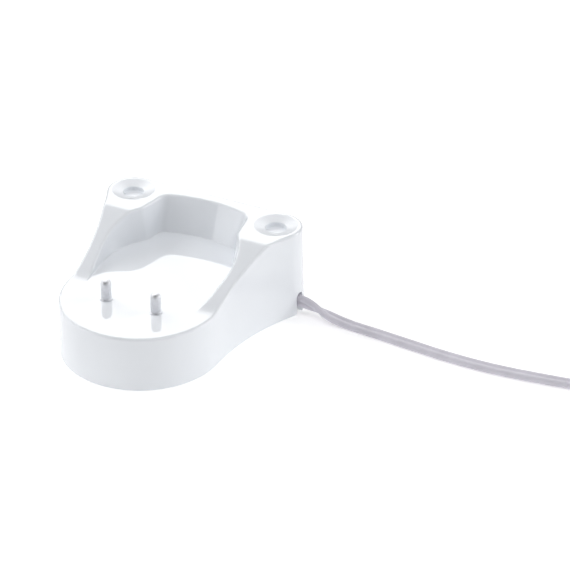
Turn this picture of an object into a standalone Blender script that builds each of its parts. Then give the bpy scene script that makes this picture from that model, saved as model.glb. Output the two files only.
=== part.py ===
"""Contact charging base for an electric toothbrush, with its mains lead and plug.

Frame: metres, +Z up, +X to the right, +Y to the rear.  The origin is the middle
of the casing's footprint, on the surface that the feet stand on.
"""

import math

import bmesh
import bpy
from mathutils import Vector

MM = 0.001
GAP = 0.3

# Casing outline, at its lower edge
FRONT_R = 28.17
BOSS_R = 9.93
BOSS_X = 28.0
BOSS_BEHIND_FRONT = 44.1
WAIST_R = 81.0
DRAFT = math.tan(math.radians(1.3))

# Heights above the casing's lower edge
STAND = 0.3
PLATFORM_H = 19.66
TOP_H = 31.84
WALL = 2.0
ROOF = 2.2

# Ramp between the platform and the top
RAMP_START = 1.55
RAMP_DEG = 23.1
RAMP_FOOT_R = 13.7
RAMP_CREST_R = 6.0

# Handle recess: side lean, and its rear wall measured from the platform's centre
SIDE_LEAN = 1.46
RECESS_REAR_LOW = 43.5
RECESS_REAR_HIGH = 48.6

# Round sockets on the two bosses
DISH_R = 7.55
DISH_DEPTH = 1.0
SOCKET_R = 3.6
SOCKET_DEPTH = 1.6

# Contact pins
PIN_X = 9.5
PIN_AHEAD = 7.0
PIN_R = 1.75
PIN_H = 7.3
FLANGE_R = 2.15
FLANGE_H = 0.4
SHANK_R = 1.4
SHANK_L = 8.2
SEAL_R = 3.2
SEAL_H = 1.4
TERMINAL_R = 3.0
TERMINAL_T = 0.6
TERMINAL_TAB = 8.5
NUT_AF = 5.5
NUT_H = 2.4

# Base plate, its feet and its screws
PLATE_T = 2.0
FOOT_R = 4.5
FOOT_T = 1.1
FRONT_FOOT_X = 10.5
FRONT_FOOT_AHEAD = 17.0
SCREW_BOSS_R = 3.9
SCREW_BOSS_T = 3.6
BOSS_ROOT = 0.5
SCREW_HEAD_R = 2.5
SCREW_HEAD_H = 1.5
HEAD_RECESS = 0.4
SCREW_R = 1.2
SCREW_L = 9.0
POST_R = 3.2
FRONT_SCREW_X = 19.5
REAR_SCREW = (26.0, 28.9)

# Circuit board, measured from the platform's centre
BOARD_W = 40.0
BOARD_FRONT = 4.9
BOARD_REAR = 37.9
BOARD_T = 1.6
STANDOFF_H = 1.9
STANDOFF_R = 2.4
BOARD_SCREW_INSET = 2.8
SMALL_SCREW_R = 0.9
SMALL_HEAD_R = 2.1
SMALL_HEAD_H = 1.3
BOARD_SCREW_L = 4.5
CLAMP_SCREW_L = 6.0

# Twin mains cord: two cores side by side
CORE_D = 2.3
SLOT_BEHIND_FRONT = 43.13
SLOT_W = 3.4
SLOT_TOP = 8.2
EXIT_Z = 5.3
CLAMP_X = 23.0
CLAMP_HALF_SPAN = 5.2
CLAMP_POST_R = 2.4
CLAMP_T = 2.0
WIRE_R = 0.7

# Coil of the put-away length, and the plug
COIL_CENTRE = (193.0, 5.0)
COIL_R = 25.3
COIL_W = 12.4
COIL_H = 9.6
CORD_LIFT = 0.05
COIL_EDGE = 1.2
PLUG_W = 22.0
PLUG_H = 16.0
PLUG_L = 20.0
RELIEF_L = 15.0
RELIEF_R = 3.6
BLADE_SPACING = 12.7
BLADE_W = 6.35
BLADE_T = 1.5
BLADE_L = 17.5
BLADE_ROOM = 6.0

# Levels and places that follow from the sizes above
FRONT_Y = (FRONT_R - BOSS_BEHIND_FRONT - BOSS_R) / 2
BOSS_Y = FRONT_Y + BOSS_BEHIND_FRONT
SLOT_Y = FRONT_Y + SLOT_BEHIND_FRONT
LOW = STAND
SEAT = STAND + PLATFORM_H
TOP = STAND + TOP_H
CEILING = SEAT - ROOF
PLATE_TOP = LOW + PLATE_T
BOARD_LOW = PLATE_TOP + STANDOFF_H + GAP
BOARD_TOP = BOARD_LOW + BOARD_T
PIN_Y = FRONT_Y - PIN_AHEAD

WHITE = ((0.90, 0.91, 0.92), 0.18, 0.0)
PALE_GREY = ((0.52, 0.51, 0.56), 0.35, 0.0)
RUBBER = ((0.10, 0.10, 0.11), 0.75, 0.0)
STEEL = ((0.62, 0.62, 0.64), 0.25, 1.0)
BRASS = ((0.72, 0.55, 0.28), 0.30, 1.0)
BOARD_GREEN = ((0.04, 0.22, 0.10), 0.45, 0.0)
BLACK = ((0.03, 0.03, 0.035), 0.45, 0.0)
BLUE = ((0.05, 0.12, 0.42), 0.40, 0.0)
BROWN = ((0.22, 0.10, 0.05), 0.45, 0.0)
TAN = ((0.62, 0.48, 0.30), 0.50, 0.0)
FERRITE = ((0.10, 0.10, 0.105), 0.60, 0.0)
YELLOW = ((0.80, 0.62, 0.10), 0.40, 0.0)


# ---------------------------------------------------------------- scene tools

def clear_scene():
    for thing in list(bpy.data.objects):
        bpy.data.objects.remove(thing, do_unlink=True)
    for name in ("toothbrush_charger", "cutters"):
        old = bpy.data.collections.get(name)
        if old:
            bpy.data.collections.remove(old)
        bpy.context.scene.collection.children.link(bpy.data.collections.new(name))


def keep(thing, collection):
    for home in list(thing.users_collection):
        home.objects.unlink(thing)
    bpy.data.collections[collection].objects.link(thing)
    thing.hide_render = collection == "cutters"
    thing.display_type = "WIRE" if thing.hide_render else "TEXTURED"
    return thing


def finish(thing, look):
    """Puts a finished piece in the model's collection, with its own material."""
    colour, roughness, metallic = look
    material = bpy.data.materials.new(thing.name)
    material.use_nodes = True
    shader = material.node_tree.nodes["Principled BSDF"]
    shader.inputs["Base Color"].default_value = (*colour, 1.0)
    shader.inputs["Roughness"].default_value = roughness
    shader.inputs["Metallic"].default_value = metallic
    thing.data.materials.clear()
    thing.data.materials.append(material)
    return keep(thing, "toothbrush_charger")


def from_mesh(name, mesh):
    thing = bpy.data.objects.new(name, mesh)
    bpy.context.scene.collection.objects.link(thing)
    return keep(thing, "cutters")


def cut(target, *cutters, operation="DIFFERENCE"):
    for cutter in cutters:
        step = target.modifiers.new(cutter.name, "BOOLEAN")
        step.operation = operation
        step.solver = "EXACT"
        step.object = cutter
    return target


def join(target, *others):
    return cut(target, *others, operation="UNION")


def soften(thing, width, segments=2, angle=35):
    step = thing.modifiers.new("rounded_edges", "BEVEL")
    step.width = width * MM
    step.segments = segments
    step.limit_method = "ANGLE"
    step.angle_limit = math.radians(angle)
    return thing


# --------------------------------------------------------------- shape tools

def arc(centre, radius, start, end, count):
    """Points on an arc, both ends included, angles in radians."""
    return [
        (
            centre[0] + radius * math.cos(start + (end - start) * i / count),
            centre[1] + radius * math.sin(start + (end - start) * i / count),
        )
        for i in range(count + 1)
    ]


def casing_outline(grow=0.0):
    """The casing's plan, moved outward by grow: a round nose, a drawn-in waist
    on each side, and two round rear corners with a straight back between."""
    nose, boss = (0.0, FRONT_Y), (BOSS_X, BOSS_Y)
    to_nose, to_boss = WAIST_R + FRONT_R, WAIST_R + BOSS_R
    dx, dy = boss[0] - nose[0], boss[1] - nose[1]
    span = math.hypot(dx, dy)
    along = (to_nose**2 - to_boss**2 + span**2) / (2 * span)
    aside = math.sqrt(to_nose**2 - along**2)
    waist = (
        nose[0] + along * dx / span + aside * dy / span,
        nose[1] + along * dy / span - aside * dx / span,
    )
    nose_turn = math.atan2(waist[1] - nose[1], waist[0] - nose[0])
    boss_turn = math.atan2(waist[1] - boss[1], waist[0] - boss[0])
    half = arc(nose, FRONT_R + grow, -math.pi / 2, nose_turn, 16)
    half += arc(waist, WAIST_R - grow, nose_turn + math.pi, boss_turn + math.pi, 8)[1:]
    half += arc(boss, BOSS_R + grow, boss_turn, math.pi / 2, 14)[1:]
    return half + [(-x, y) for x, y in reversed(half[1:])]


def rounded(corners, grow=0.0, step_deg=9.0):
    """A closed outline, counterclockwise, through (x, y, radius) corners, moved
    outward by grow.  Each corner is an arc of its own radius."""
    count = len(corners)
    edges = []
    for i, (x, y, _) in enumerate(corners):
        nx, ny, _ = corners[(i + 1) % count]
        length = math.hypot(nx - x, ny - y)
        ux, uy = (nx - x) / length, (ny - y) / length
        edges.append((x + uy * grow, y - ux * grow, ux, uy))
    points = []
    for i, (_, _, radius) in enumerate(corners):
        ax, ay, ux, uy = edges[i - 1]
        bx, by, vx, vy = edges[i]
        turn = ux * vy - uy * vx
        along = ((bx - ax) * vy - (by - ay) * vx) / turn
        cx, cy = ax + ux * along, ay + uy * along
        angle = math.atan2(turn, ux * vx + uy * vy)
        if radius:
            radius += math.copysign(grow, angle)
        back = radius * math.tan(abs(angle) / 2)
        side = math.copysign(radius, angle)
        centre = (cx - ux * back - uy * side, cy - uy * back + ux * side)
        if not radius:
            points.append((cx, cy))
            continue
        start = math.atan2(cy - uy * back - centre[1], cx - ux * back - centre[0])
        steps = max(2, round(abs(math.degrees(angle)) / step_deg))
        points += arc(centre, radius, start, start + angle, steps)
    return points


def loft(name, rings):
    """A closed solid through rings of equal length, lowest first, each counterclockwise."""
    mesh = bpy.data.meshes.new(name)
    shape = bmesh.new()
    rows = [[shape.verts.new(Vector(p) * MM) for p in ring] for ring in rings]
    count = len(rows[0])
    for low, high in zip(rows, rows[1:]):
        for i in range(count):
            j = (i + 1) % count
            shape.faces.new((low[i], low[j], high[j], high[i]))
    shape.faces.new(list(reversed(rows[0])))
    shape.faces.new(rows[-1])
    shape.to_mesh(mesh)
    shape.free()
    return from_mesh(name, mesh)


def level(outline, z):
    return [(x, y, z) for x, y in outline]


def slab(name, outline, low, high):
    """A flat outline with straight sides, from height low to height high."""
    curve = bpy.data.curves.new(name, "CURVE")
    curve.dimensions = "2D"
    curve.fill_mode = "BOTH"
    curve.extrude = (high - low) / 2 * MM
    spline = curve.splines.new("POLY")
    spline.points.add(len(outline) - 1)
    for point, (x, y) in zip(spline.points, outline):
        point.co = (x * MM, y * MM, 0.0, 1.0)
    spline.use_cyclic_u = True
    thing = solid_from_curve(name, curve)
    thing.location.z = (low + high) / 2 * MM
    return thing


def solid_from_curve(name, curve):
    """The curve as a welded closed mesh object."""
    drawn = bpy.data.objects.new(name + "_line", curve)
    bpy.context.scene.collection.objects.link(drawn)
    bpy.context.view_layer.update()
    mesh = bpy.data.meshes.new_from_object(
        drawn.evaluated_get(bpy.context.evaluated_depsgraph_get())
    )
    shape = bmesh.new()
    shape.from_mesh(mesh)
    bmesh.ops.remove_doubles(shape, verts=shape.verts, dist=0.01 * MM)
    bmesh.ops.recalc_face_normals(shape, faces=shape.faces)
    shape.to_mesh(mesh)
    shape.free()
    bpy.data.objects.remove(drawn, do_unlink=True)
    mesh.name = name
    return from_mesh(name, mesh)


def turned(name, profile, place=(0, 0, 0), steps=24):
    """A turned solid. The profile is (radius, height) pairs, from the axis at the
    top, down the outer side, to the axis at the bottom; or a closed ring."""
    mesh = bpy.data.meshes.new(name)
    count = len(profile)
    ring = profile[0][0] > 0
    edges = [(i, i + 1) for i in range(count - 1)]
    if ring:
        edges.append((count - 1, 0))
    mesh.from_pydata([(r * MM, 0, z * MM) for r, z in profile], edges, [])
    thing = from_mesh(name, mesh)
    thing.location = Vector(place) * MM
    spin = thing.modifiers.new("spin", "SCREW")
    spin.steps = steps
    spin.render_steps = steps
    spin.use_merge_vertices = True
    spin.merge_threshold = 0.00001
    return thing


def cylinder(name, radius, low, high, place, sides=24):
    bpy.ops.mesh.primitive_cylinder_add(
        vertices=sides,
        radius=radius * MM,
        depth=(high - low) * MM,
        location=(place[0] * MM, place[1] * MM, (low + high) / 2 * MM),
    )
    thing = bpy.context.object
    thing.name = name
    return keep(thing, "cutters")


def block(name, low, high):
    size = [(b - a) * MM for a, b in zip(low, high)]
    bpy.ops.mesh.primitive_cube_add(
        size=1.0, location=[(a + b) / 2 * MM for a, b in zip(low, high)]
    )
    thing = bpy.context.object
    thing.name = name
    thing.scale = size
    bpy.ops.object.transform_apply(location=False, rotation=False, scale=True)
    return keep(thing, "cutters")


def tube(name, points, radius, resolution=2):
    """A round wire or cord on straight steps between points."""
    curve = bpy.data.curves.new(name, "CURVE")
    curve.dimensions = "3D"
    curve.bevel_depth = radius * MM
    curve.bevel_resolution = resolution
    curve.use_fill_caps = True
    spline = curve.splines.new("POLY")
    spline.points.add(len(points) - 1)
    for point, place in zip(spline.points, points):
        point.co = (*(Vector(place) * MM), 1.0)
    thing = bpy.data.objects.new(name, curve)
    bpy.context.scene.collection.objects.link(thing)
    return thing


def smooth_line(knots, step):
    """Points about step apart on a smooth curve through the knots."""
    ends = [
        [2 * a - b for a, b in zip(knots[0], knots[1])],
        [2 * a - b for a, b in zip(knots[-1], knots[-2])],
    ]
    held = [Vector(p) for p in [ends[0], *knots, ends[1]]]
    points = [held[1]]
    for a, b, c, d in zip(held, held[1:], held[2:], held[3:]):
        pieces = max(1, round((c - b).length / step))
        for i in range(1, pieces + 1):
            t = i / pieces
            points.append(
                0.5 * (
                    2 * b
                    + (c - a) * t
                    + (2 * a - 5 * b + 4 * c - d) * t**2
                    + (3 * b - a - 3 * c + d) * t**3
                )
            )
    return points


# -------------------------------------------------------------------- casing

def ramp_cutter(name, drop, grow=0.0):
    """Everything above the platform, the ramp and the top, lowered by drop."""
    rise = TOP_H - PLATFORM_H
    run = rise / math.tan(math.radians(RAMP_DEG))
    foot = FRONT_Y + RAMP_START
    front, rear = FRONT_Y - 2 * FRONT_R, BOSS_Y + 3 * BOSS_R
    profile = rounded(
        [
            (front, SEAT - drop, 0),
            (foot, SEAT - drop, RAMP_FOOT_R),
            (foot + run, TOP - drop, RAMP_CREST_R),
            (rear, TOP - drop, 0),
            (rear, TOP + 20, 0),
            (front, TOP + 20, 0),
        ],
        grow,
        step_deg=4,
    )
    half = 2 * (BOSS_X + BOSS_R)
    rings = [[(x, y, z) for y, z in profile] for x in (-half, half)]
    return loft(name, rings)


def recess_outline(lean, rear, grow=0.0):
    """The handle recess: two bulging sides, a narrower neck and a round rear wall.
    lean is how far the sides stand out from their place on the floor."""
    open_x, side_x, neck_x, corner_x = 20.6, 24.0, 16.9, 15.6
    share = lean / SIDE_LEAN
    rear_turn = math.radians(16)
    corner_y = rear / math.cos(rear_turn) - (corner_x + 0.8 * share) * math.tan(rear_turn)
    half = [
        (open_x + lean, FRONT_Y - 6, 0),
        (side_x + lean, FRONT_Y + 22.8, 24),
        (neck_x + 1.7 * share, FRONT_Y + 33.8, 4.5),
        (corner_x + 0.8 * share, FRONT_Y + corner_y, 4.2),
    ]
    back = [(0.0, FRONT_Y + rear / math.cos(rear_turn), rear)]
    return rounded(half + back + [(-x, y, r) for x, y, r in reversed(half)], grow)


def recess_cutter(name, drop, grow=0.0):
    """The handle recess as a solid that flares towards its top and stands past it."""
    over = 1 + 3.0 / (TOP_H - PLATFORM_H)
    rear = RECESS_REAR_LOW + (RECESS_REAR_HIGH - RECESS_REAR_LOW) * over
    under = -drop / (TOP_H - PLATFORM_H)
    rear_under = RECESS_REAR_LOW + (RECESS_REAR_HIGH - RECESS_REAR_LOW) * under
    return loft(
        name,
        [
            level(recess_outline(SIDE_LEAN * under, rear_under, grow), SEAT - drop),
            level(recess_outline(SIDE_LEAN * over, rear, grow), TOP + 3.0),
        ],
    )


def socket_cutter(name, side):
    return turned(
        name,
        [
            (0, TOP + 1),
            (DISH_R, TOP + 1),
            (DISH_R, TOP),
            (SOCKET_R, TOP - DISH_DEPTH),
            (SOCKET_R, TOP - DISH_DEPTH - SOCKET_DEPTH),
            (0, TOP - DISH_DEPTH - SOCKET_DEPTH),
        ],
        (side * BOSS_X, BOSS_Y, 0),
    )


def slot_cutter(name, inner_x, grow=0.0):
    """The arched cable slot at the right rear corner, open at the bottom."""
    half = SLOT_W / 2 + grow
    arch_z = LOW + SLOT_TOP - SLOT_W / 2
    profile = [(SLOT_Y - half, -5.0), (SLOT_Y + half, -5.0)]
    profile += arc((SLOT_Y, arch_z), half, 0.0, math.pi, 8)
    outer_x = BOSS_X + 2 * BOSS_R
    return loft(name, [[(x, y, z) for y, z in profile] for x in (inner_x, outer_x)])


def inner_space():
    """The hollow inside the casing, open at the bottom."""
    space = loft(
        "inner_space",
        [
            level(casing_outline(DRAFT * 5 - WALL), LOW - 5),
            level(casing_outline(-DRAFT * TOP_H - WALL), TOP + 1),
        ],
    )
    cut(space, ramp_cutter("roof_under", ROOF), recess_cutter("recess_under", ROOF, WALL))
    for side, tag in ((-1, "left"), (1, "right")):
        under = TOP - DISH_DEPTH - SOCKET_DEPTH - ROOF
        lid = cylinder(f"{tag}_socket_under", BOSS_R + 1, under, TOP + 5, (side * BOSS_X, BOSS_Y))
        cut(space, lid)
    return space


def screw_places():
    front = [(side * FRONT_SCREW_X, FRONT_Y) for side in (-1, 1)]
    rear = [(side * REAR_SCREW[0], FRONT_Y + REAR_SCREW[1]) for side in (-1, 1)]
    return front + rear


def make_housing():
    housing = loft(
        "housing_top",
        [
            level(casing_outline(), LOW),
            level(casing_outline(-DRAFT * (TOP_H + 2)), TOP + 2),
        ],
    )
    cut(housing, ramp_cutter("above_ramp", 0.0), recess_cutter("recess", 0.0))
    cut(housing, inner_space())
    post_low = LOW + SCREW_BOSS_T + GAP
    for i, place in enumerate(screw_places()):
        under_ramp = place[1] > FRONT_Y + RAMP_START
        post_high = TOP - ROOF - GAP if under_ramp else CEILING + 1
        join(housing, cylinder(f"post_{i}", POST_R, post_low, post_high, place, 16))
        bore = cylinder(f"pilot_{i}", SCREW_R + GAP, post_low - 1, CEILING - 1.5, place, 12)
        cut(housing, bore)
    for side, tag in ((-1, "left"), (1, "right")):
        cut(housing, socket_cutter(f"{tag}_socket", side))
        place = (side * PIN_X, PIN_Y)
        cut(housing, cylinder(f"{tag}_pin_hole", SHANK_R + GAP, CEILING - 2, SEAT + 2, place, 16))
    cut(housing, slot_cutter("housing_slot", BOSS_X + 2.0))
    return finish(housing, WHITE)


def foot_places():
    return {
        "foot_front_left": (-FRONT_FOOT_X, FRONT_Y - FRONT_FOOT_AHEAD),
        "foot_front_right": (FRONT_FOOT_X, FRONT_Y - FRONT_FOOT_AHEAD),
        "foot_rear_left": (-BOSS_X, BOSS_Y),
        "foot_rear_right": (BOSS_X, BOSS_Y),
    }


def board_screw_places():
    x = BOARD_W / 2 - BOARD_SCREW_INSET
    front = FRONT_Y + BOARD_FRONT + BOARD_SCREW_INSET
    rear = FRONT_Y + BOARD_REAR - BOARD_SCREW_INSET
    return [(side * x, y) for y in (front, rear) for side in (-1, 1)]


def clamp_screw_places():
    return [(CLAMP_X, SLOT_Y + side * CLAMP_HALF_SPAN) for side in (-1, 1)]


def clamp_low():
    return LOW + EXIT_Z - STAND + CORE_D + GAP


def make_base_plate():
    plate = slab("base_plate", casing_outline(-WALL - GAP), LOW, PLATE_TOP)
    for i, place in enumerate(screw_places()):
        boss = cylinder(f"screw_boss_{i}", SCREW_BOSS_R, LOW + BOSS_ROOT, LOW + SCREW_BOSS_T, place, 16)
        join(plate, boss)
    for i, place in enumerate(board_screw_places()):
        high = BOARD_LOW - GAP
        join(plate, cylinder(f"standoff_{i}", STANDOFF_R, LOW + BOSS_ROOT, high, place, 16))
        cut(plate, cylinder(f"board_pilot_{i}", SMALL_SCREW_R + GAP, LOW + 0.8, high + 1, place, 10))
    for i, place in enumerate(clamp_screw_places()):
        high = clamp_low() - GAP
        join(plate, cylinder(f"clamp_post_{i}", CLAMP_POST_R, LOW + BOSS_ROOT, high, place, 16))
        cut(plate, cylinder(f"clamp_pilot_{i}", SMALL_SCREW_R + GAP, LOW + 3, high + 1, place, 10))
    for i, place in enumerate(screw_places()):
        head_room = LOW + HEAD_RECESS + SCREW_HEAD_H + GAP
        cut(plate, cylinder(f"head_room_{i}", SCREW_HEAD_R + GAP, LOW - 1, head_room, place, 16))
        through = cylinder(f"screw_hole_{i}", SCREW_R + GAP, LOW - 1, LOW + 9, place, 12)
        cut(plate, through)
    for name, place in foot_places().items():
        pad = cylinder(f"{name}_seat", FOOT_R + GAP, LOW - 1, FOOT_T + GAP, place, 20)
        cut(plate, pad)
    cut(plate, slot_cutter("plate_slot", BOSS_X + FOOT_R + 1.0, GAP))
    return finish(plate, WHITE)


def make_feet():
    for name, place in foot_places().items():
        foot = cylinder(name, FOOT_R, 0.0, FOOT_T, place, 20)
        finish(soften(foot, 0.25, 1, 60), RUBBER)


def screw(name, head_r, head_h, shank_r, shank_l, place, head_down, sides=16):
    """A pan-head screw with its head's flat side at place, as a turned solid."""
    way = -1 if head_down else 1
    profile = [
        (0, way * head_h),
        (head_r * 0.62, way * head_h),
        (head_r, way * head_h * 0.45),
        (head_r, 0),
        (shank_r, 0),
        (shank_r, -way * (shank_l - shank_r)),
        (0, -way * shank_l),
    ]
    if head_down:
        profile.reverse()
    return turned(name, profile, place, sides)


def make_screws():
    low = LOW + HEAD_RECESS + SCREW_HEAD_H
    for i, place in enumerate(screw_places(), 1):
        sizes = (SCREW_HEAD_R, SCREW_HEAD_H, SCREW_R, SCREW_L)
        finish(screw(f"base_screw_{i}", *sizes, (*place, low), True), STEEL)
    small = (SMALL_HEAD_R, SMALL_HEAD_H, SMALL_SCREW_R)
    high = BOARD_TOP + GAP
    for i, place in enumerate(board_screw_places(), 1):
        finish(screw(f"board_screw_{i}", *small, BOARD_SCREW_L, (*place, high), False, 12), STEEL)
    high = clamp_low() + CLAMP_T + GAP
    for i, place in enumerate(clamp_screw_places(), 1):
        finish(screw(f"clamp_screw_{i}", *small, CLAMP_SCREW_L, (*place, high), False, 12), STEEL)


# ------------------------------------------------------------- contact pins

def make_pins():
    for side, tag in ((-1, "left"), (1, "right")):
        x = side * PIN_X
        low = SEAT + GAP
        dome = [
            (PIN_R * math.sin(a), low + PIN_H - GAP - PIN_R * 0.6 * (1 - math.cos(a)))
            for a in (math.radians(18 * i) for i in range(6))
        ]
        profile = dome + [
            (PIN_R, low + FLANGE_H),
            (FLANGE_R, low + FLANGE_H),
            (FLANGE_R, low),
            (SHANK_R, low),
            (SHANK_R, low - SHANK_L),
            (0, low - SHANK_L),
        ]
        profile[0] = (0, low + PIN_H - GAP)
        finish(turned(f"contact_pin_{tag}", profile, (x, PIN_Y, 0)), STEEL)

        seal_top = CEILING - GAP
        half = SEAL_H / 2
        ring_r = (SEAL_R + SHANK_R + GAP) / 2
        thick = (SEAL_R - SHANK_R - GAP) / 2
        section = [
            (ring_r + thick * math.cos(a), seal_top - half + half * math.sin(a))
            for a in (-math.radians(45 * i) for i in range(8))
        ]
        finish(turned(f"pin_seal_{tag}", section, (x, PIN_Y, 0), 20), RUBBER)

        high = seal_top - SEAL_H - GAP
        low = high - TERMINAL_T
        tab = block(
            f"{tag}_tab",
            (x - 1.5, PIN_Y + TERMINAL_R - 1.0, low),
            (x + 1.5, PIN_Y + TERMINAL_TAB, high),
        )
        terminal = cylinder(f"pin_terminal_{tag}", TERMINAL_R, low, high, (x, PIN_Y), 20)
        join(terminal, tab)
        hole = cylinder(f"{tag}_eye", SHANK_R + GAP, low - 1, high + 1, (x, PIN_Y), 16)
        finish(cut(terminal, hole), BRASS)


def make_pin_nuts():
    high = CEILING - 3 * GAP - SEAL_H - TERMINAL_T
    for side, tag in ((-1, "left"), (1, "right")):
        place = (side * PIN_X, PIN_Y)
        nut = cylinder(f"pin_nut_{tag}", NUT_AF / math.sqrt(3), high - NUT_H, high, place, 6)
        thread = cylinder(f"{tag}_thread", SHANK_R + GAP, high - 9, high + 1, place, 16)
        finish(cut(nut, thread), STEEL)


def make_pin_wires():
    top = CEILING - 2 * GAP - SEAL_H - TERMINAL_T / 2
    for side, tag in ((-1, "left"), (1, "right")):
        x = side * PIN_X
        y = PIN_Y + TERMINAL_TAB + GAP
        line = smooth_line(
            [
                (x, y, top),
                (x, y + 2.2, top - 0.4),
                (x - side * 0.6, y + 3.6, top - 3.6),
                (x - side * 1.4, y + 4.6, BOARD_TOP + 2.5),
                (x - side * 1.8, y + 4.9, BOARD_TOP + GAP),
            ],
            1.6,
        )
        finish(tube(f"pin_wire_{tag}", line, WIRE_R), BROWN if side < 0 else BLACK)


# ------------------------------------------------------------ circuit board

def make_board():
    half = BOARD_W / 2
    board = block(
        "circuit_board",
        (-half, FRONT_Y + BOARD_FRONT, BOARD_LOW),
        (half, FRONT_Y + BOARD_REAR, BOARD_TOP),
    )
    for i, place in enumerate(board_screw_places()):
        hole = cylinder(f"board_hole_{i}", SMALL_SCREW_R + GAP, BOARD_LOW - 1, BOARD_TOP + 1, place, 12)
        cut(board, hole)
    finish(board, BOARD_GREEN)


def on_board(x, y):
    """A place measured from the middle of the circuit board."""
    return (x, FRONT_Y + (BOARD_FRONT + BOARD_REAR) / 2 + y)


def make_transformer():
    """A closed ferrite core with a wound bobbin on its middle leg."""
    cx, cy = on_board(-8.0, 1.5)
    low = BOARD_TOP + 1.6
    core_w, core_t, core_h, leg = 13.2, 6.0, 9.6, 2.6
    core = block(
        "transformer_core",
        (cx - core_w / 2, cy - core_t / 2, low),
        (cx + core_w / 2, cy + core_t / 2, low + core_h),
    )
    window_out = core_w / 2 - leg
    for side in (-1, 1):
        inner, outer = sorted((side * leg * 0.55, side * window_out))
        window = block(
            f"window{side}",
            (cx + inner, cy - core_t, low + leg),
            (cx + outer, cy + core_t, low + core_h - leg),
        )
        cut(core, window)
    finish(core, FERRITE)

    post = leg * 0.55 + GAP
    flange = window_out - GAP
    reach = core_t / 2 + GAP
    bobbin_low, bobbin_high = low + leg + GAP, low + core_h - leg - GAP
    bobbin = block(
        "transformer_bobbin",
        (cx - flange, cy - core_t / 2 - 3.0, bobbin_low),
        (cx + flange, cy + core_t / 2 + 3.0, bobbin_high),
    )
    hole = block("leg_hole", (cx - post, cy - reach, low - 1), (cx + post, cy + reach, low + core_h + 1))
    winding_low, winding_high = bobbin_low + 0.6, bobbin_high - 0.6
    tube_x, tube_y = post + 0.6, reach + 0.6
    outside = block(
        "wound_space", (cx - 9, cy - 9, winding_low), (cx + 9, cy + 9, winding_high)
    )
    barrel = block("barrel", (cx - tube_x, cy - tube_y, low - 1), (cx + tube_x, cy + tube_y, low + core_h + 1))
    cut(bobbin, hole, cut(outside, barrel))
    finish(bobbin, BLACK)

    winding = block(
        "transformer_winding",
        (cx - flange + GAP, cy - core_t / 2 - 2.6, winding_low + GAP),
        (cx + flange - GAP, cy + core_t / 2 + 2.6, winding_high - GAP),
    )
    inside = block(
        "winding_inside",
        (cx - tube_x - 0.2, cy - tube_y - GAP, low - 1),
        (cx + tube_x + 0.2, cy + tube_y + GAP, low + core_h + 1),
    )
    finish(cut(winding, inside), YELLOW)


def lying_can(name, radius, length, place, look):
    """An electrolytic capacitor lying along Y, with the groove round its closed end."""
    profile = [
        (0, length / 2),
        (radius - 0.5, length / 2),
        (radius, length / 2 - 0.5),
        (radius, -length / 2 + 2.2),
        (radius - 0.4, -length / 2 + 1.7),
        (radius, -length / 2 + 1.2),
        (radius, -length / 2 + 0.4),
        (radius - 0.4, -length / 2),
        (0, -length / 2),
    ]
    x, y = on_board(*place)
    can = turned(name, profile, (x, y, BOARD_TOP + GAP + radius), 20)
    can.rotation_euler.x = math.radians(90)
    finish(can, look)


def lying_axial(name, body_r, body_l, lead_r, span, place, look):
    """A part with a wire at each end, lying along X, as one turned solid."""
    profile = [
        (0, span / 2),
        (lead_r, span / 2),
        (lead_r, body_l / 2),
        (body_r * 0.8, body_l / 2),
        (body_r, body_l / 2 - 0.5),
        (body_r, -body_l / 2 + 0.5),
        (body_r * 0.8, -body_l / 2),
        (lead_r, -body_l / 2),
        (lead_r, -span / 2),
        (0, -span / 2),
    ]
    x, y = on_board(*place)
    part = turned(name, profile, (x, y, BOARD_TOP + GAP + body_r), 14)
    part.rotation_euler.y = math.radians(90)
    finish(part, look)


def chip(name, size, place, legs, look):
    """A moulded package with a row of flat legs on each long side."""
    x, y = on_board(*place)
    wide, long, high = size
    low = BOARD_TOP + GAP
    package = block(name, (x - wide / 2, y - long / 2, low + 0.5), (x + wide / 2, y + long / 2, low + high))
    pitch = long / legs
    for side in (-1, 1):
        for i in range(legs):
            mid = y - long / 2 + pitch * (i + 0.5)
            inner, outer = sorted((side * (wide / 2 - 0.3), side * (wide / 2 + 1.0)))
            leg = block(f"{name}_leg", (x + inner, mid - 0.25, low), (x + outer, mid + 0.25, low + 1.0))
            join(package, leg)
    finish(package, look)


def make_components():
    make_transformer()
    lying_can("input_capacitor", 4.0, 12.5, (7.5, 7.6), BLACK)
    lying_can("output_capacitor", 3.15, 8.6, (-15.2, -6.8), BLUE)
    lying_axial("fusible_resistor", 1.7, 7.5, 0.3, 11.0, (7.0, -1.6), TAN)
    lying_axial("output_diode", 1.35, 5.0, 0.35, 9.5, (-5.0, -13.2), BLACK)
    chip("bridge_rectifier", (5.6, 4.8, 2.6), (15.8, 3.2), 2, BLACK)
    chip("controller_chip", (5.0, 6.0, 2.2), (3.4, -8.4), 4, BLACK)
    chip("optocoupler", (5.0, 4.6, 3.4), (-5.8, -8.6), 2, BLACK)
    x, y = on_board(12.6, -8.4)
    low = BOARD_TOP + GAP
    disc = turned(
        "safety_capacitor",
        [(0, 1.4), (2.6, 1.4), (3.3, 0.7), (3.3, -0.7), (2.6, -1.4), (0, -1.4)],
        (x, y, low + 3.3),
        18,
    )
    disc.rotation_euler.x = math.radians(90)
    finish(disc, BLUE)


# ----------------------------------------------------------- cord and plug

def cord_mid_z():
    return CORE_D / 2 + CORD_LIFT


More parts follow.
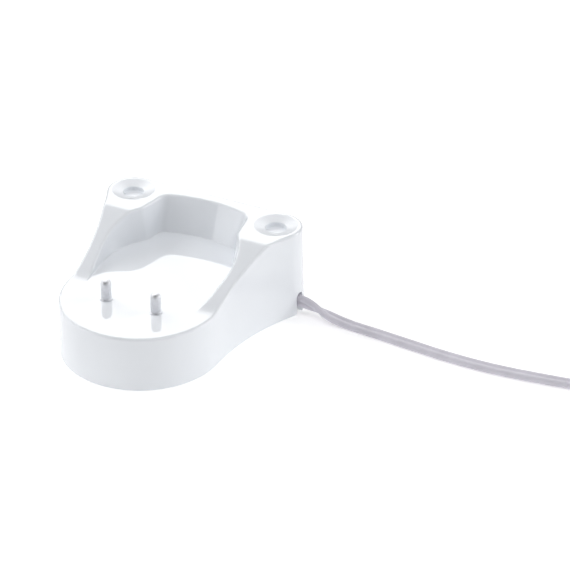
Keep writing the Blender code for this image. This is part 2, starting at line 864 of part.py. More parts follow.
def make_clamp():
    low = clamp_low()
    reach = CLAMP_HALF_SPAN + CLAMP_POST_R
    clamp = block(
        "cable_clamp",
        (CLAMP_X - 2.6, SLOT_Y - reach, low),
        (CLAMP_X + 2.6, SLOT_Y + reach, low + CLAMP_T),
    )
    soften(clamp, 0.6, 2)
    for i, place in enumerate(clamp_screw_places()):
        cut(clamp, cylinder(f"clamp_hole_{i}", SMALL_SCREW_R + GAP, low - 1, low + 5, place, 12))
    finish(clamp, WHITE)


def make_mains_wires():
    start_x = CLAMP_X - 4.4
    for name, height, pad, look in (
        ("mains_wire_live", EXIT_Z + CORE_D / 2, (15.8, FRONT_Y + BOARD_REAR - 5.6), BROWN),
        ("mains_wire_neutral", EXIT_Z - CORE_D / 2, (11.6, FRONT_Y + BOARD_REAR - 1.6), BLUE),
    ):
        z = BOARD_TOP + GAP
        line = smooth_line(
            [
                (start_x, SLOT_Y, height),
                (start_x - 2.0, SLOT_Y, height + 0.2),
                (pad[0] - 1.2, SLOT_Y - 1.6, z + 3.2),
                (pad[0] - 0.4, (SLOT_Y + pad[1]) / 2, z + 3.6),
                (pad[0], pad[1] + 0.4, z + 1.8),
                (pad[0], pad[1], z),
            ],
            1.8,
        )
        finish(tube(name, line, WIRE_R), look)


def cord_run_knots():
    """The cord from its clamp, out through the slot, down to the surface, and
    along it to where the coil begins."""
    floor = cord_mid_z()
    coil_x, coil_y = COIL_CENTRE
    join_y = coil_y + COIL_R + COIL_W / 2 - CORE_D / 2 - 0.6
    return [
        (CLAMP_X - 4.0, SLOT_Y, EXIT_Z),
        (30.0, SLOT_Y, EXIT_Z),
        (38.0, SLOT_Y, EXIT_Z - 0.1),
        (44.0, 29.9, 4.2),
        (50.0, 29.6, 2.4),
        (57.5, 29.5, floor),
        (69.5, 28.5, floor),
        (81.3, 27.4, floor),
        (92.9, 26.4, floor),
        (104.0, 26.1, floor),
        (114.6, 26.5, floor),
        (126.5, 27.8, floor),
        (138.6, 29.6, floor),
        (152.0, 31.9, floor),
        (165.0, 33.7, floor),
        (coil_x - 16.0, join_y, floor),
    ]


def cord_tail_knots():
    """The cord from the coil's upper turns to the plug's strain relief."""
    coil_x, coil_y = COIL_CENTRE
    radius = COIL_R + COIL_W / 2 + CORE_D / 2 + 0.8
    start = math.radians(28)
    height = COIL_H - CORE_D
    return [
        (coil_x + radius * math.cos(start), coil_y + radius * math.sin(start), height),
        (coil_x + radius + 1.8, coil_y + 9.0, height + 0.2),
        (coil_x + radius + 3.2, coil_y + 2.0, PLUG_H / 2),
        (plug_axis_x(), coil_y - 5.0, PLUG_H / 2),
    ]


def plug_axis_x():
    return COIL_CENTRE[0] + COIL_R + COIL_W / 2 + PLUG_W / 2 + GAP - 6.0


def relief_start_y():
    return COIL_CENTRE[1] - 5.0 - GAP


def make_cord():
    finish(tube("cord_run", smooth_line(cord_run_knots(), 2.6 * CORE_D), CORE_D / 2), PALE_GREY)
    finish(tube("cord_tail", smooth_line(cord_tail_knots(), 2.6 * CORE_D), CORE_D / 2), PALE_GREY)
    inner, outer = COIL_R - COIL_W / 2, COIL_R + COIL_W / 2
    ring = turned(
        "cord_coil",
        [
            (inner + COIL_EDGE, COIL_H),
            (outer - COIL_EDGE, COIL_H),
            (outer, COIL_H - COIL_EDGE),
            (outer, CORD_LIFT + COIL_EDGE),
            (outer - COIL_EDGE, CORD_LIFT),
            (inner + COIL_EDGE, CORD_LIFT),
            (inner, CORD_LIFT + COIL_EDGE),
            (inner, COIL_H - COIL_EDGE),
        ],
        (*COIL_CENTRE, 0),
        40,
    )
    finish(ring, PALE_GREY)


def make_plug():
    """A moulded two-blade plug, lying with its cord end towards +Y."""
    x, y, z = plug_axis_x(), relief_start_y(), PLUG_H / 2
    relief = turned(
        "plug_strain_relief",
        [
            (0, 0),
            (CORE_D * 0.9, 0),
            (CORE_D * 1.1, -RELIEF_L * 0.3),
            (RELIEF_R, -RELIEF_L),
            (0, -RELIEF_L),
        ],
        (x, y, z),
        16,
    )
    relief.rotation_euler.x = math.radians(-90)
    finish(relief, PALE_GREY)

    rear = y - RELIEF_L - GAP
    front = rear - PLUG_L
    body = block("plug_body", (x - PLUG_W / 2, front, 0.0), (x + PLUG_W / 2, rear, PLUG_H))
    soften(body, 3.0, 3)
    for side, tag in ((-1, "left"), (1, "right")):
        mid = x + side * BLADE_SPACING / 2
        low, high = z - BLADE_W / 2, z + BLADE_W / 2
        hollow = block(
            f"{tag}_blade_room",
            (mid - BLADE_T / 2 - GAP, front - 1, low - GAP),
            (mid + BLADE_T / 2 + GAP, front + BLADE_ROOM, high + GAP),
        )
        cut(body, hollow)
        blade = block(
            f"plug_blade_{tag}",
            (mid - BLADE_T / 2, front - BLADE_L, low),
            (mid + BLADE_T / 2, front + BLADE_ROOM - GAP, high),
        )
        finish(soften(blade, 0.3, 1), STEEL)
    finish(body, PALE_GREY)


def main():
    clear_scene()
    make_housing()
    make_base_plate()
    make_feet()
    make_screws()
    make_pins()
    make_pin_nuts()
    make_pin_wires()
    make_board()
    make_components()
    make_clamp()
    make_mains_wires()
    make_cord()
    make_plug()


main()
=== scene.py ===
"""Charging base for an electric toothbrush, with its twin cord and plug.

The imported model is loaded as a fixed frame, and every piece here stands on it.
Lengths in the shape code are millimetres; meshes and properties are in metres.
"""

import math

import bmesh
import bpy
from bpy.props import FloatProperty, FloatVectorProperty, IntProperty, PointerProperty
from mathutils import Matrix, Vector
from mathutils.geometry import delaunay_2d_cdt


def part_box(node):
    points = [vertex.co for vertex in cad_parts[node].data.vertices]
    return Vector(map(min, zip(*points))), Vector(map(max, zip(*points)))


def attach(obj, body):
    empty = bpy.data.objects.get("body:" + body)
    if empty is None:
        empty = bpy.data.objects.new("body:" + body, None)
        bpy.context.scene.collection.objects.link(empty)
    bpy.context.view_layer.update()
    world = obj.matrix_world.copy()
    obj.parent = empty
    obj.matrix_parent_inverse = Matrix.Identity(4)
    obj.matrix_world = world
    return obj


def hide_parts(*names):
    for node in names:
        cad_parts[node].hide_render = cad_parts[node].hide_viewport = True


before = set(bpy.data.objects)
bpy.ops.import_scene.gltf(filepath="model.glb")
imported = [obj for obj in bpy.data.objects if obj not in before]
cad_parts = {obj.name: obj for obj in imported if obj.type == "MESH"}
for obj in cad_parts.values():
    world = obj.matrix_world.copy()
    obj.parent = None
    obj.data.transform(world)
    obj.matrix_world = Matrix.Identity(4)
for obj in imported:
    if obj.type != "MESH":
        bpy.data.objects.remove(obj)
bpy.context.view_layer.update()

bl_info = {
    "name": "Toothbrush Charging Base",
    "version": (1, 0, 0),
    "blender": (4, 5, 0),
    "location": "3D Viewport > Sidebar > Charging Base",
    "description": "Builds a glossy charging base with contact pins, twin cord and plug",
    "category": "Object",
}

MM = 0.001
ROOT = "root"


def box_mm(node):
    return [Vector(corner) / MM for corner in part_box(node)]


CASING_LOW, CASING_HIGH = box_mm("housing_top")
PIN_LOW, PIN_HIGH = box_mm("contact_pin_right")
PIN_MIDDLE = (PIN_LOW + PIN_HIGH) / 2
COIL_LOW, COIL_HIGH = box_mm("cord_coil")
COIL_MIDDLE = (COIL_LOW + COIL_HIGH) / 2
PLUG_LOW, PLUG_HIGH = box_mm("plug_body")
PLUG_MIDDLE = (PLUG_LOW + PLUG_HIGH) / 2
RELIEF_LOW, RELIEF_HIGH = box_mm("plug_strain_relief")
CORD_EXIT = Vector((CASING_HIGH.x, CASING_HIGH.y - 10.9, 5.3))
COIL_LAYER_TURNS = 4
COIL_OUTER = COIL_HIGH.x - COIL_MIDDLE.x - 1.8
TURN_GAP = 0.04
LIFT = 0.05
TIE_T = 0.5


# ------------------------------------------------------------------ settings

def length(name, description, size):
    """A length property whose default is given in millimetres."""
    return FloatProperty(
        name=name, description=description, default=size * MM,
        min=0.1 * MM, unit="LENGTH", precision=5,
    )


def colour_of(name, description, value):
    """A colour property."""
    return FloatVectorProperty(
        name=name, description=description, default=value,
        size=3, min=0.0, max=1.0, subtype="COLOR",
    )


class CasingSettings(bpy.types.PropertyGroup):
    """Sizes of the moulded casing."""

    nose_radius: length("Nose radius", "Round front platform, at the lower edge", 28.17)
    corner_radius: length("Corner radius", "Round rear corners, at the lower edge", 9.93)
    waist_radius: length("Waist radius", "Drawn-in sides between nose and corners", 81.0)
    draft: FloatProperty(
        name="Draft", description="Lean of the outer walls",
        default=math.radians(1.3), min=0.0, max=0.2, subtype="ANGLE",
    )
    platform_height: length("Platform height", "Platform above the lower edge", 19.66)
    rim_round: length("Outer rim rounding", "Rounding of the outer top edge", 0.95)
    recess_round: length("Recess rim rounding", "Rounding of the handle recess's top edge", 1.0)
    floor_round: length("Recess floor rounding", "Hollow corner between floor and wall", 0.45)
    dish_radius: length("Dish radius", "Shallow dish round each socket", 7.55)
    socket_radius: length("Socket radius", "Blind socket for a spare brush head", 3.6)


class CordSettings(bpy.types.PropertyGroup):
    """Sizes of the twin cord and its plug."""

    core: length("Core diameter", "Each of the cord's two cores", 2.3)
    length: FloatProperty(
        name="Cord length", description="Whole length of the cord",
        default=1.5, min=0.1, unit="LENGTH",
    )
    turns: IntProperty(
        name="Whole turns", description="Whole turns in the put-away coil",
        default=8, min=1,
    )
    blade_spacing: length("Blade spacing", "Between the middles of the plug's blades", 12.7)


class FinishSettings(bpy.types.PropertyGroup):
    """Colours of the visible finishes."""

    casing: colour_of("Casing", "Glossy white moulding", (0.893, 0.92, 0.96))
    base: colour_of("Base plate", "Satin white moulding", (0.80, 0.81, 0.82))
    cord: colour_of("Cord", "Grey-lavender cord sheath", (0.68, 0.66, 0.73))
    feet: colour_of("Feet", "Rubber feet", (0.30, 0.30, 0.31))


class StageSettings(bpy.types.PropertyGroup):
    """Camera, floor and light."""

    azimuth: FloatProperty(
        name="Camera azimuth", description="Camera's turn round the base from the front",
        default=math.radians(27.06), subtype="ANGLE",
    )
    elevation: FloatProperty(
        name="Camera elevation", description="Camera's height above the horizon",
        default=math.radians(30.92), subtype="ANGLE",
    )
    distance: FloatProperty(
        name="Camera distance", description="From the camera to what it aims at",
        default=0.9293, min=0.1, unit="LENGTH",
    )
    lens: FloatProperty(
        name="Lens", description="Focal length in millimetres on a 36 mm sensor",
        default=172.4, min=20.0,
    )
    floor_tone: FloatProperty(
        name="Floor tone", description="How pale the light table is",
        default=0.93, min=0.0, max=1.0,
    )
    floor_glow: FloatProperty(
        name="Floor glow", description="Light that comes through the light table",
        default=0.34, min=0.0,
    )
    lamp_distance: FloatProperty(
        name="Lamp distance", description="From the base to each soft panel",
        default=1.2, min=0.3, unit="LENGTH",
    )
    lamp_strength: FloatProperty(
        name="Lamp strength", description="Brightness of all panels together",
        default=1.0, min=0.0,
    )


# --------------------------------------------------------------- mesh helpers

def mesh_object(name, points, faces, smooth_angle=35):
    """An object from points in millimetres, shaded smooth up to an angle."""
    mesh = bpy.data.meshes.new(name)
    mesh.from_pydata([Vector(p) * MM for p in points], [], faces)
    mesh.validate()
    thing = bpy.data.objects.new(name, mesh)
    bpy.context.scene.collection.objects.link(thing)
    tidy_shading(thing, smooth_angle)
    return thing


def tidy_shading(thing, smooth_angle=35):
    """Turns all faces outward and shades them smooth up to an angle."""
    shape = bmesh.new()
    shape.from_mesh(thing.data)
    bmesh.ops.recalc_face_normals(shape, faces=shape.faces)
    shape.to_mesh(thing.data)
    shape.free()
    thing.data.shade_smooth()
    thing.data.set_sharp_from_angle(angle=math.radians(smooth_angle))


def even_normals(thing):
    """Lets large flat faces keep their own shading beside small rounded ones."""
    step = thing.modifiers.new("even_normals", "WEIGHTED_NORMAL")
    step.keep_sharp = True
    step.weight = 80
    return thing


def arc(centre, radius, start, end, count):
    """Points on an arc in count steps, both ends included."""
    return [
        (
            centre[0] + radius * math.cos(start + (end - start) * i / count),
            centre[1] + radius * math.sin(start + (end - start) * i / count),
        )
        for i in range(count + 1)
    ]


def rounded(corners, steps, grow=0.0, closed=True):
    """An outline through (x, y, radius) corners, each corner an arc of steps parts.
    A closed outline runs counterclockwise and is moved outward by grow."""
    count = len(corners)
    edges = []
    for i, (x, y, _) in enumerate(corners):
        nx, ny, _ = corners[(i + 1) % count]
        length = math.hypot(nx - x, ny - y)
        ux, uy = (nx - x) / length, (ny - y) / length
        edges.append((x + uy * grow, y - ux * grow, ux, uy))
    points = []
    for i, (x, y, radius) in enumerate(corners):
        at_end = not closed and i in (0, count - 1)
        if at_end:
            points.append((x, y))
            continue
        ax, ay, ux, uy = edges[i - 1]
        bx, by, vx, vy = edges[i]
        turn = ux * vy - uy * vx
        along = ((bx - ax) * vy - (by - ay) * vx) / turn
        cx, cy = ax + ux * along, ay + uy * along
        if not radius:
            points.append((cx, cy))
            continue
        angle = math.atan2(turn, ux * vx + uy * vy)
        size = radius + math.copysign(grow, angle)
        back = size * math.tan(abs(angle) / 2)
        side = math.copysign(size, angle)
        centre = (cx - ux * back - uy * side, cy - uy * back + ux * side)
        start = math.atan2(cy - uy * back - centre[1], cx - ux * back - centre[0])
        points += arc(centre, size, start, start + angle, steps)
    return points


def filled_in(outline, partners, longest):
    """The outline with its long steps divided, and the same done to its partners."""
    lists = [[] for _ in partners]
    fine = []
    for i, (a, b) in enumerate(zip(outline, outline[1:])):
        pieces = max(1, math.ceil(math.dist(a, b) / longest))
        for k in range(pieces):
            t = k / pieces
            fine.append(tuple(p + (q - p) * t for p, q in zip(a, b)))
            for found, other in zip(lists, partners):
                found.append(tuple(p + (q - p) * t for p, q in zip(other[i], other[i + 1])))
    fine.append(outline[-1])
    for found, other in zip(lists, partners):
        found.append(other[-1])
    return [fine, *lists]


def lofted(name, rings):
    """A closed solid through rings of equal length."""
    count = len(rings[0])
    points = [p for ring in rings for p in ring]
    faces = []
    for row in range(len(rings) - 1):
        for i in range(count):
            j = (i + 1) % count
            low, high = row * count, (row + 1) * count
            faces.append((low + i, low + j, high + j, high + i))
    faces.append(tuple(reversed(range(count))))
    last = (len(rings) - 1) * count
    faces.append(tuple(last + i for i in range(count)))
    return mesh_object(name, points, faces)


def turned(name, profile, place, sides=48, smooth_angle=35):
    """A solid turned about Z from (radius, height) pairs that start and end on the axis."""
    points, faces = [], []
    inner = profile[1:-1]
    for radius, height in inner:
        for i in range(sides):
            turn = 2 * math.pi * i / sides
            points.append((radius * math.cos(turn), radius * math.sin(turn), height))
    for row in range(len(inner) - 1):
        for i in range(sides):
            j = (i + 1) % sides
            a, b = row * sides, (row + 1) * sides
            faces.append((a + i, b + i, b + j, a + j))
    for row, (_, height), flip in ((0, profile[0], 1), (len(inner) - 1, profile[-1], 0)):
        points.append((0, 0, height))
        tip = len(points) - 1
        for i in range(sides):
            j = (i + 1) % sides
            a, b = row * sides + i, row * sides + j
            faces.append((tip, a, b) if flip else (tip, b, a))
    thing = mesh_object(name, points, faces, smooth_angle)
    thing.location = Vector(place) * MM
    return thing


def block(name, low, high):
    xs, ys, zs = zip(low, high)
    points = [(x, y, z) for z in zs for y in ys for x in xs]
    faces = [(0, 2, 3, 1), (4, 5, 7, 6), (0, 1, 5, 4), (2, 6, 7, 3), (0, 4, 6, 2), (1, 3, 7, 5)]
    return mesh_object(name, points, faces)


def rod(name, radius, low, high, place, sides=24):
    """An upright round rod from low to high."""
    ring = arc(place, radius, 0, 2 * math.pi, sides)[:-1]
    return lofted(name, [[(x, y, z) for x, y in ring] for z in (low, high)])


def carve(thing, *steps):
    """Applies (operation, tool) pairs in turn and removes the tools."""
    for operation, tool in steps:
        step = thing.modifiers.new(tool.name, "BOOLEAN")
        step.operation = operation
        step.solver = "EXACT"
        step.object = tool
    bpy.context.view_layer.update()
    graph = bpy.context.evaluated_depsgraph_get()
    mesh = bpy.data.meshes.new_from_object(thing.evaluated_get(graph))
    thing.modifiers.clear()
    old, thing.data = thing.data, mesh
    mesh.name = thing.name
    bpy.data.meshes.remove(old)
    for _, tool in steps:
        bpy.data.meshes.remove(tool.data)
    return thing


def inside(polygon, x, y):
    """Whether a point lies in a closed outline."""
    found = False
    for (ax, ay), (bx, by) in zip(polygon, polygon[1:] + polygon[:1]):
        if (ay > y) != (by > y) and x < ax + (y - ay) / (by - ay) * (bx - ax):
            found = not found
    return found


# ------------------------------------------------------------ material tools

def shader_of(material):
    return material.node_tree.nodes["Principled BSDF"]


def new_material(name, colour, roughness, metallic=0.0, **more):
    material = bpy.data.materials.new(name)
    material.use_nodes = True
    shader = shader_of(material)
    values = {"Base Color": (*colour, 1.0), "Roughness": roughness, "Metallic": metallic, **more}
    for socket, value in values.items():
        shader.inputs[socket].default_value = value
    return material


def add_texture(material, kind, scale, detail=2.0):
    """A texture in the object's own coordinates, its scale in repeats a metre."""
    nodes, links = material.node_tree.nodes, material.node_tree.links
    place = nodes.new("ShaderNodeTexCoord")
    texture = nodes.new(kind)
    texture.inputs["Scale"].default_value = scale
    if "Detail" in texture.inputs:
        texture.inputs["Detail"].default_value = detail
    links.new(place.outputs["Object"], texture.inputs["Vector"])
    return texture


def vary_roughness(material, texture, low, high):
    nodes, links = material.node_tree.nodes, material.node_tree.links
    spread = nodes.new("ShaderNodeMapRange")
    spread.inputs["To Min"].default_value = low
    spread.inputs["To Max"].default_value = high
    links.new(texture.outputs[0], spread.inputs["Value"])
    links.new(spread.outputs["Result"], shader_of(material).inputs["Roughness"])


def vary_colour(material, texture, dark, light, low=0.3, high=0.7):
    nodes, links = material.node_tree.nodes, material.node_tree.links
    ramp = nodes.new("ShaderNodeValToRGB")
    ramp.color_ramp.elements[0].position = low
    ramp.color_ramp.elements[0].color = (*dark, 1.0)
    ramp.color_ramp.elements[1].position = high
    ramp.color_ramp.elements[1].color = (*light, 1.0)
    links.new(texture.outputs[0], ramp.inputs["Fac"])
    links.new(ramp.outputs["Color"], shader_of(material).inputs["Base Color"])


def add_bump(material, texture, strength, distance):
    nodes, links = material.node_tree.nodes, material.node_tree.links
    bump = nodes.new("ShaderNodeBump")
    bump.inputs["Strength"].default_value = strength
    bump.inputs["Distance"].default_value = distance
    links.new(texture.outputs[0], bump.inputs["Height"])
    last = shader_of(material).inputs["Normal"]
    if last.is_linked:
        links.new(last.links[0].from_socket, bump.inputs["Normal"])
    links.new(bump.outputs["Normal"], last)


def shaded(colour, factor):
    return tuple(min(1.0, c * factor) for c in colour)


def moulded_white(name, colour, roughness, spread, flow_scale, skin_scale, skin):
    """White moulded plastic: a faint flow in its gloss, and a fine skin."""
    material = new_material(name, colour, roughness, IOR=1.5)
    flow = add_texture(material, "ShaderNodeTexNoise", flow_scale, 3.0)
    vary_roughness(material, flow, *spread)
    vary_colour(material, flow, shaded(colour, 0.99), shaded(colour, 1.005))
    grain = add_texture(material, "ShaderNodeTexNoise", skin_scale, 2.0) if skin_scale else flow
    add_bump(material, grain, skin, 0.02 * MM)
    return material


def glossy_white(colour):
    """Polished, as most of the casing."""
    return moulded_white("casing_gloss", colour, 0.04, (0.03, 0.055), 45.0, 900.0, 0.03)


def satin_white(colour):
    """Fine blasted, as the dishes and sockets."""
    return moulded_white("casing_satin", colour, 0.3, (0.24, 0.36), 1800.0, None, 0.06)


def satin_plastic(name, colour, roughness=0.42):
    """Spark-eroded satin plastic, as on hidden mouldings."""
    material = new_material(name, colour, roughness)
    grain = add_texture(material, "ShaderNodeTexNoise", 2600.0, 4.0)
    vary_roughness(material, grain, roughness - 0.06, roughness + 0.08)
    vary_colour(material, grain, shaded(colour, 0.96), shaded(colour, 1.03))
    add_bump(material, grain, 0.25, 0.03 * MM)
    return material


def cord_sheath(colour):
    """Soft PVC sheath with a fine grain and a slight bloom."""
    material = new_material("cord_sheath", colour, 0.36, IOR=1.48)
    bloom = add_texture(material, "ShaderNodeTexNoise", 160.0, 4.0)
    vary_colour(material, bloom, shaded(colour, 0.94), shaded(colour, 1.06))
    vary_roughness(material, bloom, 0.3, 0.42)
    skin = add_texture(material, "ShaderNodeTexNoise", 2400.0, 3.0)
    add_bump(material, skin, 0.12, 0.02 * MM)
    return material


def rubber(name, colour):
    material = new_material(name, colour, 0.8)
    grain = add_texture(material, "ShaderNodeTexNoise", 3200.0, 5.0)
    vary_colour(material, grain, shaded(colour, 0.85), shaded(colour, 1.15))
    vary_roughness(material, grain, 0.7, 0.9)
    add_bump(material, grain, 0.4, 0.04 * MM)
    return material


def woven_strap():
    """Looped nylon pile on a plain weave."""
    colour = (0.055, 0.055, 0.06)
    material = new_material("woven_strap", colour, 0.9, **{"Sheen Weight": 0.4})
    weave = add_texture(material, "ShaderNodeTexWave", 1100.0, 1.0)
    pile = add_texture(material, "ShaderNodeTexNoise", 5200.0, 4.0)
    vary_colour(material, pile, shaded(colour, 0.6), shaded(colour, 1.7))
    add_bump(material, weave, 0.5, 0.1 * MM)
    add_bump(material, pile, 0.8, 0.12 * MM)
    return material


def metal(name, colour, roughness, scale=700.0):
    material = new_material(name, colour, roughness, 1.0)
    wear = add_texture(material, "ShaderNodeTexNoise", scale, 4.0)
    vary_colour(material, wear, shaded(colour, 0.93), shaded(colour, 1.04))
    vary_roughness(material, wear, roughness * 0.75, roughness * 1.35)
    fine = add_texture(material, "ShaderNodeTexNoise", scale * 6, 2.0)
    add_bump(material, fine, 0.06, 0.01 * MM)
    return material


def solder_mask():
    """Green board with copper tracks under the lacquer."""
    green, track = (0.015, 0.13, 0.05), (0.03, 0.24, 0.09)
    material = new_material("board_lacquer", green, 0.3, **{"Coat Weight": 0.4})
    tracks = add_texture(material, "ShaderNodeTexVoronoi", 260.0)
    tracks.feature = "DISTANCE_TO_EDGE"
    tracks.distance = "MANHATTAN"
    vary_colour(material, tracks, track, green, 0.06, 0.10)
    add_bump(material, tracks, 0.2, 0.03 * MM)
    return material


def wound_tape():
    """Yellow tape with the wire's turns showing through."""
    colour = (0.72, 0.52, 0.07)
    material = new_material("winding_tape", colour, 0.25)
    turns = add_texture(material, "ShaderNodeTexWave", 420.0, 1.0)
    turns.bands_direction = "Z"
    vary_colour(material, turns, shaded(colour, 0.75), shaded(colour, 1.1))
    add_bump(material, turns, 0.4, 0.05 * MM)
    return material


def stand_in(thing, slot, *nodes):
    """Rides a piece on the base in place of the frame's plain nodes."""
    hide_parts(*nodes)
    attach(thing, ROOT)
    return thing


def dress(thing, material):
    """Puts one material on every slot of an object."""
    slots = thing.material_slots
    if not slots:
        thing.data.materials.append(material)
    for slot in slots:
        slot.material = material
    for polygon in getattr(thing.data, "polygons", []):
        polygon.material_index = 0
    return thing


# --------------------------------------------------------------------- casing

class CasingPlan:
    """The casing's lines, worked out from its settings and the frame."""

    WALL, ROOF = 2.0, 2.2
    RAMP_START, RAMP_DEG, FOOT_R, CREST_R = 1.55, 23.1, 13.7, 6.0
    SIDE_LEAN, REAR_LOW, REAR_HIGH = 1.46, 43.5, 48.6
    DISH_DEPTH, SOCKET_DEPTH = 1.0, 1.6
    DISH_EDGE, SOCKET_EDGE, SOCKET_FOOT, SOCKET_DRAFT = 0.45, 0.35, 0.3, 0.05
    LOWER_EDGE = 0.35
    POST_R, PILOT_R, PIN_HOLE_R, SLOT_HALF, SLOT_HIGH = 3.2, 1.5, 1.7, 1.7, 8.2
    POST_FOOT, PILOT_FOOT, PILOT_STOP, POST_GAP, POST_ROOT = 3.9, 3, 1.5, 0.3, 0.5
    # The recess's outline on its floor: half width, distance behind the nose's middle, radius.
    SIDE_START, SIDE_BULGE, SHOULDER = (20.6, -6, 0), (24.0, 22.8, 24), (16.9, 33.8, 4.5)
    CORNER_X, CORNER_R, REAR_TURN = 15.6, 4.2, 16
    CORNER_GROWTH, SHOULDER_GROWTH = 0.8, 1.7

    def __init__(self, settings):
        self.nose_r = settings.nose_radius / MM
        self.corner_r = settings.corner_radius / MM
        self.waist_r = settings.waist_radius / MM
        self.draft = math.tan(settings.draft)
        self.low, self.top = CASING_LOW.z, CASING_HIGH.z
        self.seat = self.low + settings.platform_height / MM
        self.corner_x = CASING_HIGH.x - self.corner_r
        self.corner_y = CASING_HIGH.y - self.corner_r
        self.nose_y = CASING_LOW.y + self.nose_r
        self.rim_r = settings.rim_round / MM
        self.recess_r = settings.recess_round / MM
        self.floor_r = settings.floor_round / MM
        self.dish_r = settings.dish_radius / MM
        self.socket_r = settings.socket_radius / MM
        self.ceiling = self.seat - self.ROOF
        self.rise = self.top - self.seat

    def outline(self, grow=0.0, fine=1):
        nose, corner = (0.0, self.nose_y), (self.corner_x, self.corner_y)
        to_nose, to_corner = self.waist_r + self.nose_r, self.waist_r + self.corner_r
        dx, dy = corner[0] - nose[0], corner[1] - nose[1]
        span = math.hypot(dx, dy)
        along = (to_nose**2 - to_corner**2 + span**2) / (2 * span)
        aside = math.sqrt(to_nose**2 - along**2)
        waist = (
            nose[0] + along * dx / span + aside * dy / span,
            nose[1] + along * dy / span - aside * dx / span,
        )
        nose_turn = math.atan2(waist[1] - nose[1], waist[0] - nose[0])
        corner_turn = math.atan2(waist[1] - corner[1], waist[0] - corner[0])
        half = arc(nose, self.nose_r + grow, -math.pi / 2, nose_turn, 16 * fine)
        half += arc(
            waist, self.waist_r - grow, nose_turn + math.pi, corner_turn + math.pi, 12 * fine
        )[1:]
        half += arc(corner, self.corner_r + grow, corner_turn, math.pi / 2, 14 * fine)[1:]
        return half + [(-x, y) for x, y in reversed(half[1:])]

    def ramp_ends(self):
        slope = math.radians(self.RAMP_DEG)
        foot = self.nose_y + self.RAMP_START
        crest = foot + self.rise / math.tan(slope)
        ease = math.tan(slope / 2)
        return foot - self.FOOT_R * ease, crest + self.CREST_R * ease

    def height(self, y):
        """The height of the platform, ramp or top at y."""
        slope = math.radians(self.RAMP_DEG)
        start, end = self.ramp_ends()
        if y <= start:
            return self.seat
        if y >= end:
            return self.top
        bend_foot = start + self.FOOT_R * math.sin(slope)
        bend_crest = end - self.CREST_R * math.sin(slope)
        if y < bend_foot:
            return self.seat + self.FOOT_R - math.sqrt(self.FOOT_R**2 - (y - start) ** 2)
        if y > bend_crest:
            return self.top - self.CREST_R + math.sqrt(self.CREST_R**2 - (end - y) ** 2)
        foot_z = self.seat + self.FOOT_R * (1 - math.cos(slope))
        return foot_z + (y - bend_foot) * math.tan(slope)

    def recess_corners(self, share):
        """The recess's outline, at share 0 on its floor and 1 at the top."""
        rear = self.REAR_LOW + (self.REAR_HIGH - self.REAR_LOW) * share
        lean = self.SIDE_LEAN * share
        turn = math.radians(self.REAR_TURN)
        corner_x = self.CORNER_X + self.CORNER_GROWTH * share
        corner_y = rear / math.cos(turn) - corner_x * math.tan(turn)
        half = [
            (x + out, self.nose_y + back, radius)
            for (x, back, radius), out in (
                (self.SIDE_START, lean),
                (self.SIDE_BULGE, lean),
                (self.SHOULDER, self.SHOULDER_GROWTH * share),
                ((corner_x, corner_y, self.CORNER_R), 0.0),
            )
        ]
        back = [(0.0, self.nose_y + rear / math.cos(turn), rear)]
        return half + back + [(-x, y, r) for x, y, r in reversed(half)]


def recess_profile(plan, low, high, normal):
    """One section through the recess's wall, from the floor out onto the rim, as
    points in space.  None where the ramp is too low for a wall."""
    tall = 0.0
    for _ in range(8):
        y = low[1] + (high[1] - low[1]) * tall / plan.rise
        tall = plan.height(y) - plan.seat
    if tall < 0.03:
        return None
    lean = sum((b - a) * n for a, b, n in zip(low, high, normal)) / plan.rise
    beta = math.atan(lean)
    hollow = min(plan.floor_r, 0.3 * tall)
    ledge = min(plan.recess_r, 0.5 * tall)

    def at(height, out):
        x = low[0] + (high[0] - low[0]) * height / plan.rise + normal[0] * out
        y = low[1] + (high[1] - low[1]) * height / plan.rise + normal[1] * out
        return x, y

    points = []
    reach = hollow * math.tan((math.pi / 2 - beta) / 2)
    for i in range(5):
        turn = -math.pi / 2 + (math.pi / 2 - beta) * i / 4
        x, y = at(0.0, -reach + hollow * math.cos(turn))
        points.append((x, y, plan.seat + hollow * (1 + math.sin(turn))))
    bottom = hollow * (1 - math.sin(beta))
    drop = ledge * (1 - math.sin(beta))
    for share in (0.33, 0.67):
        height = bottom + (tall - drop - bottom) * share
        points.append((*at(height, 0.0), plan.seat + height))
    middle = ledge * math.cos(beta) - lean * drop
    for i in range(7):
        turn = beta + (math.pi / 2 - beta) * i / 6
        x, y = at(tall, middle - ledge * math.cos(turn))
        points.append((x, y, plan.height(y) - ledge * (1 - math.sin(turn))))
    return points


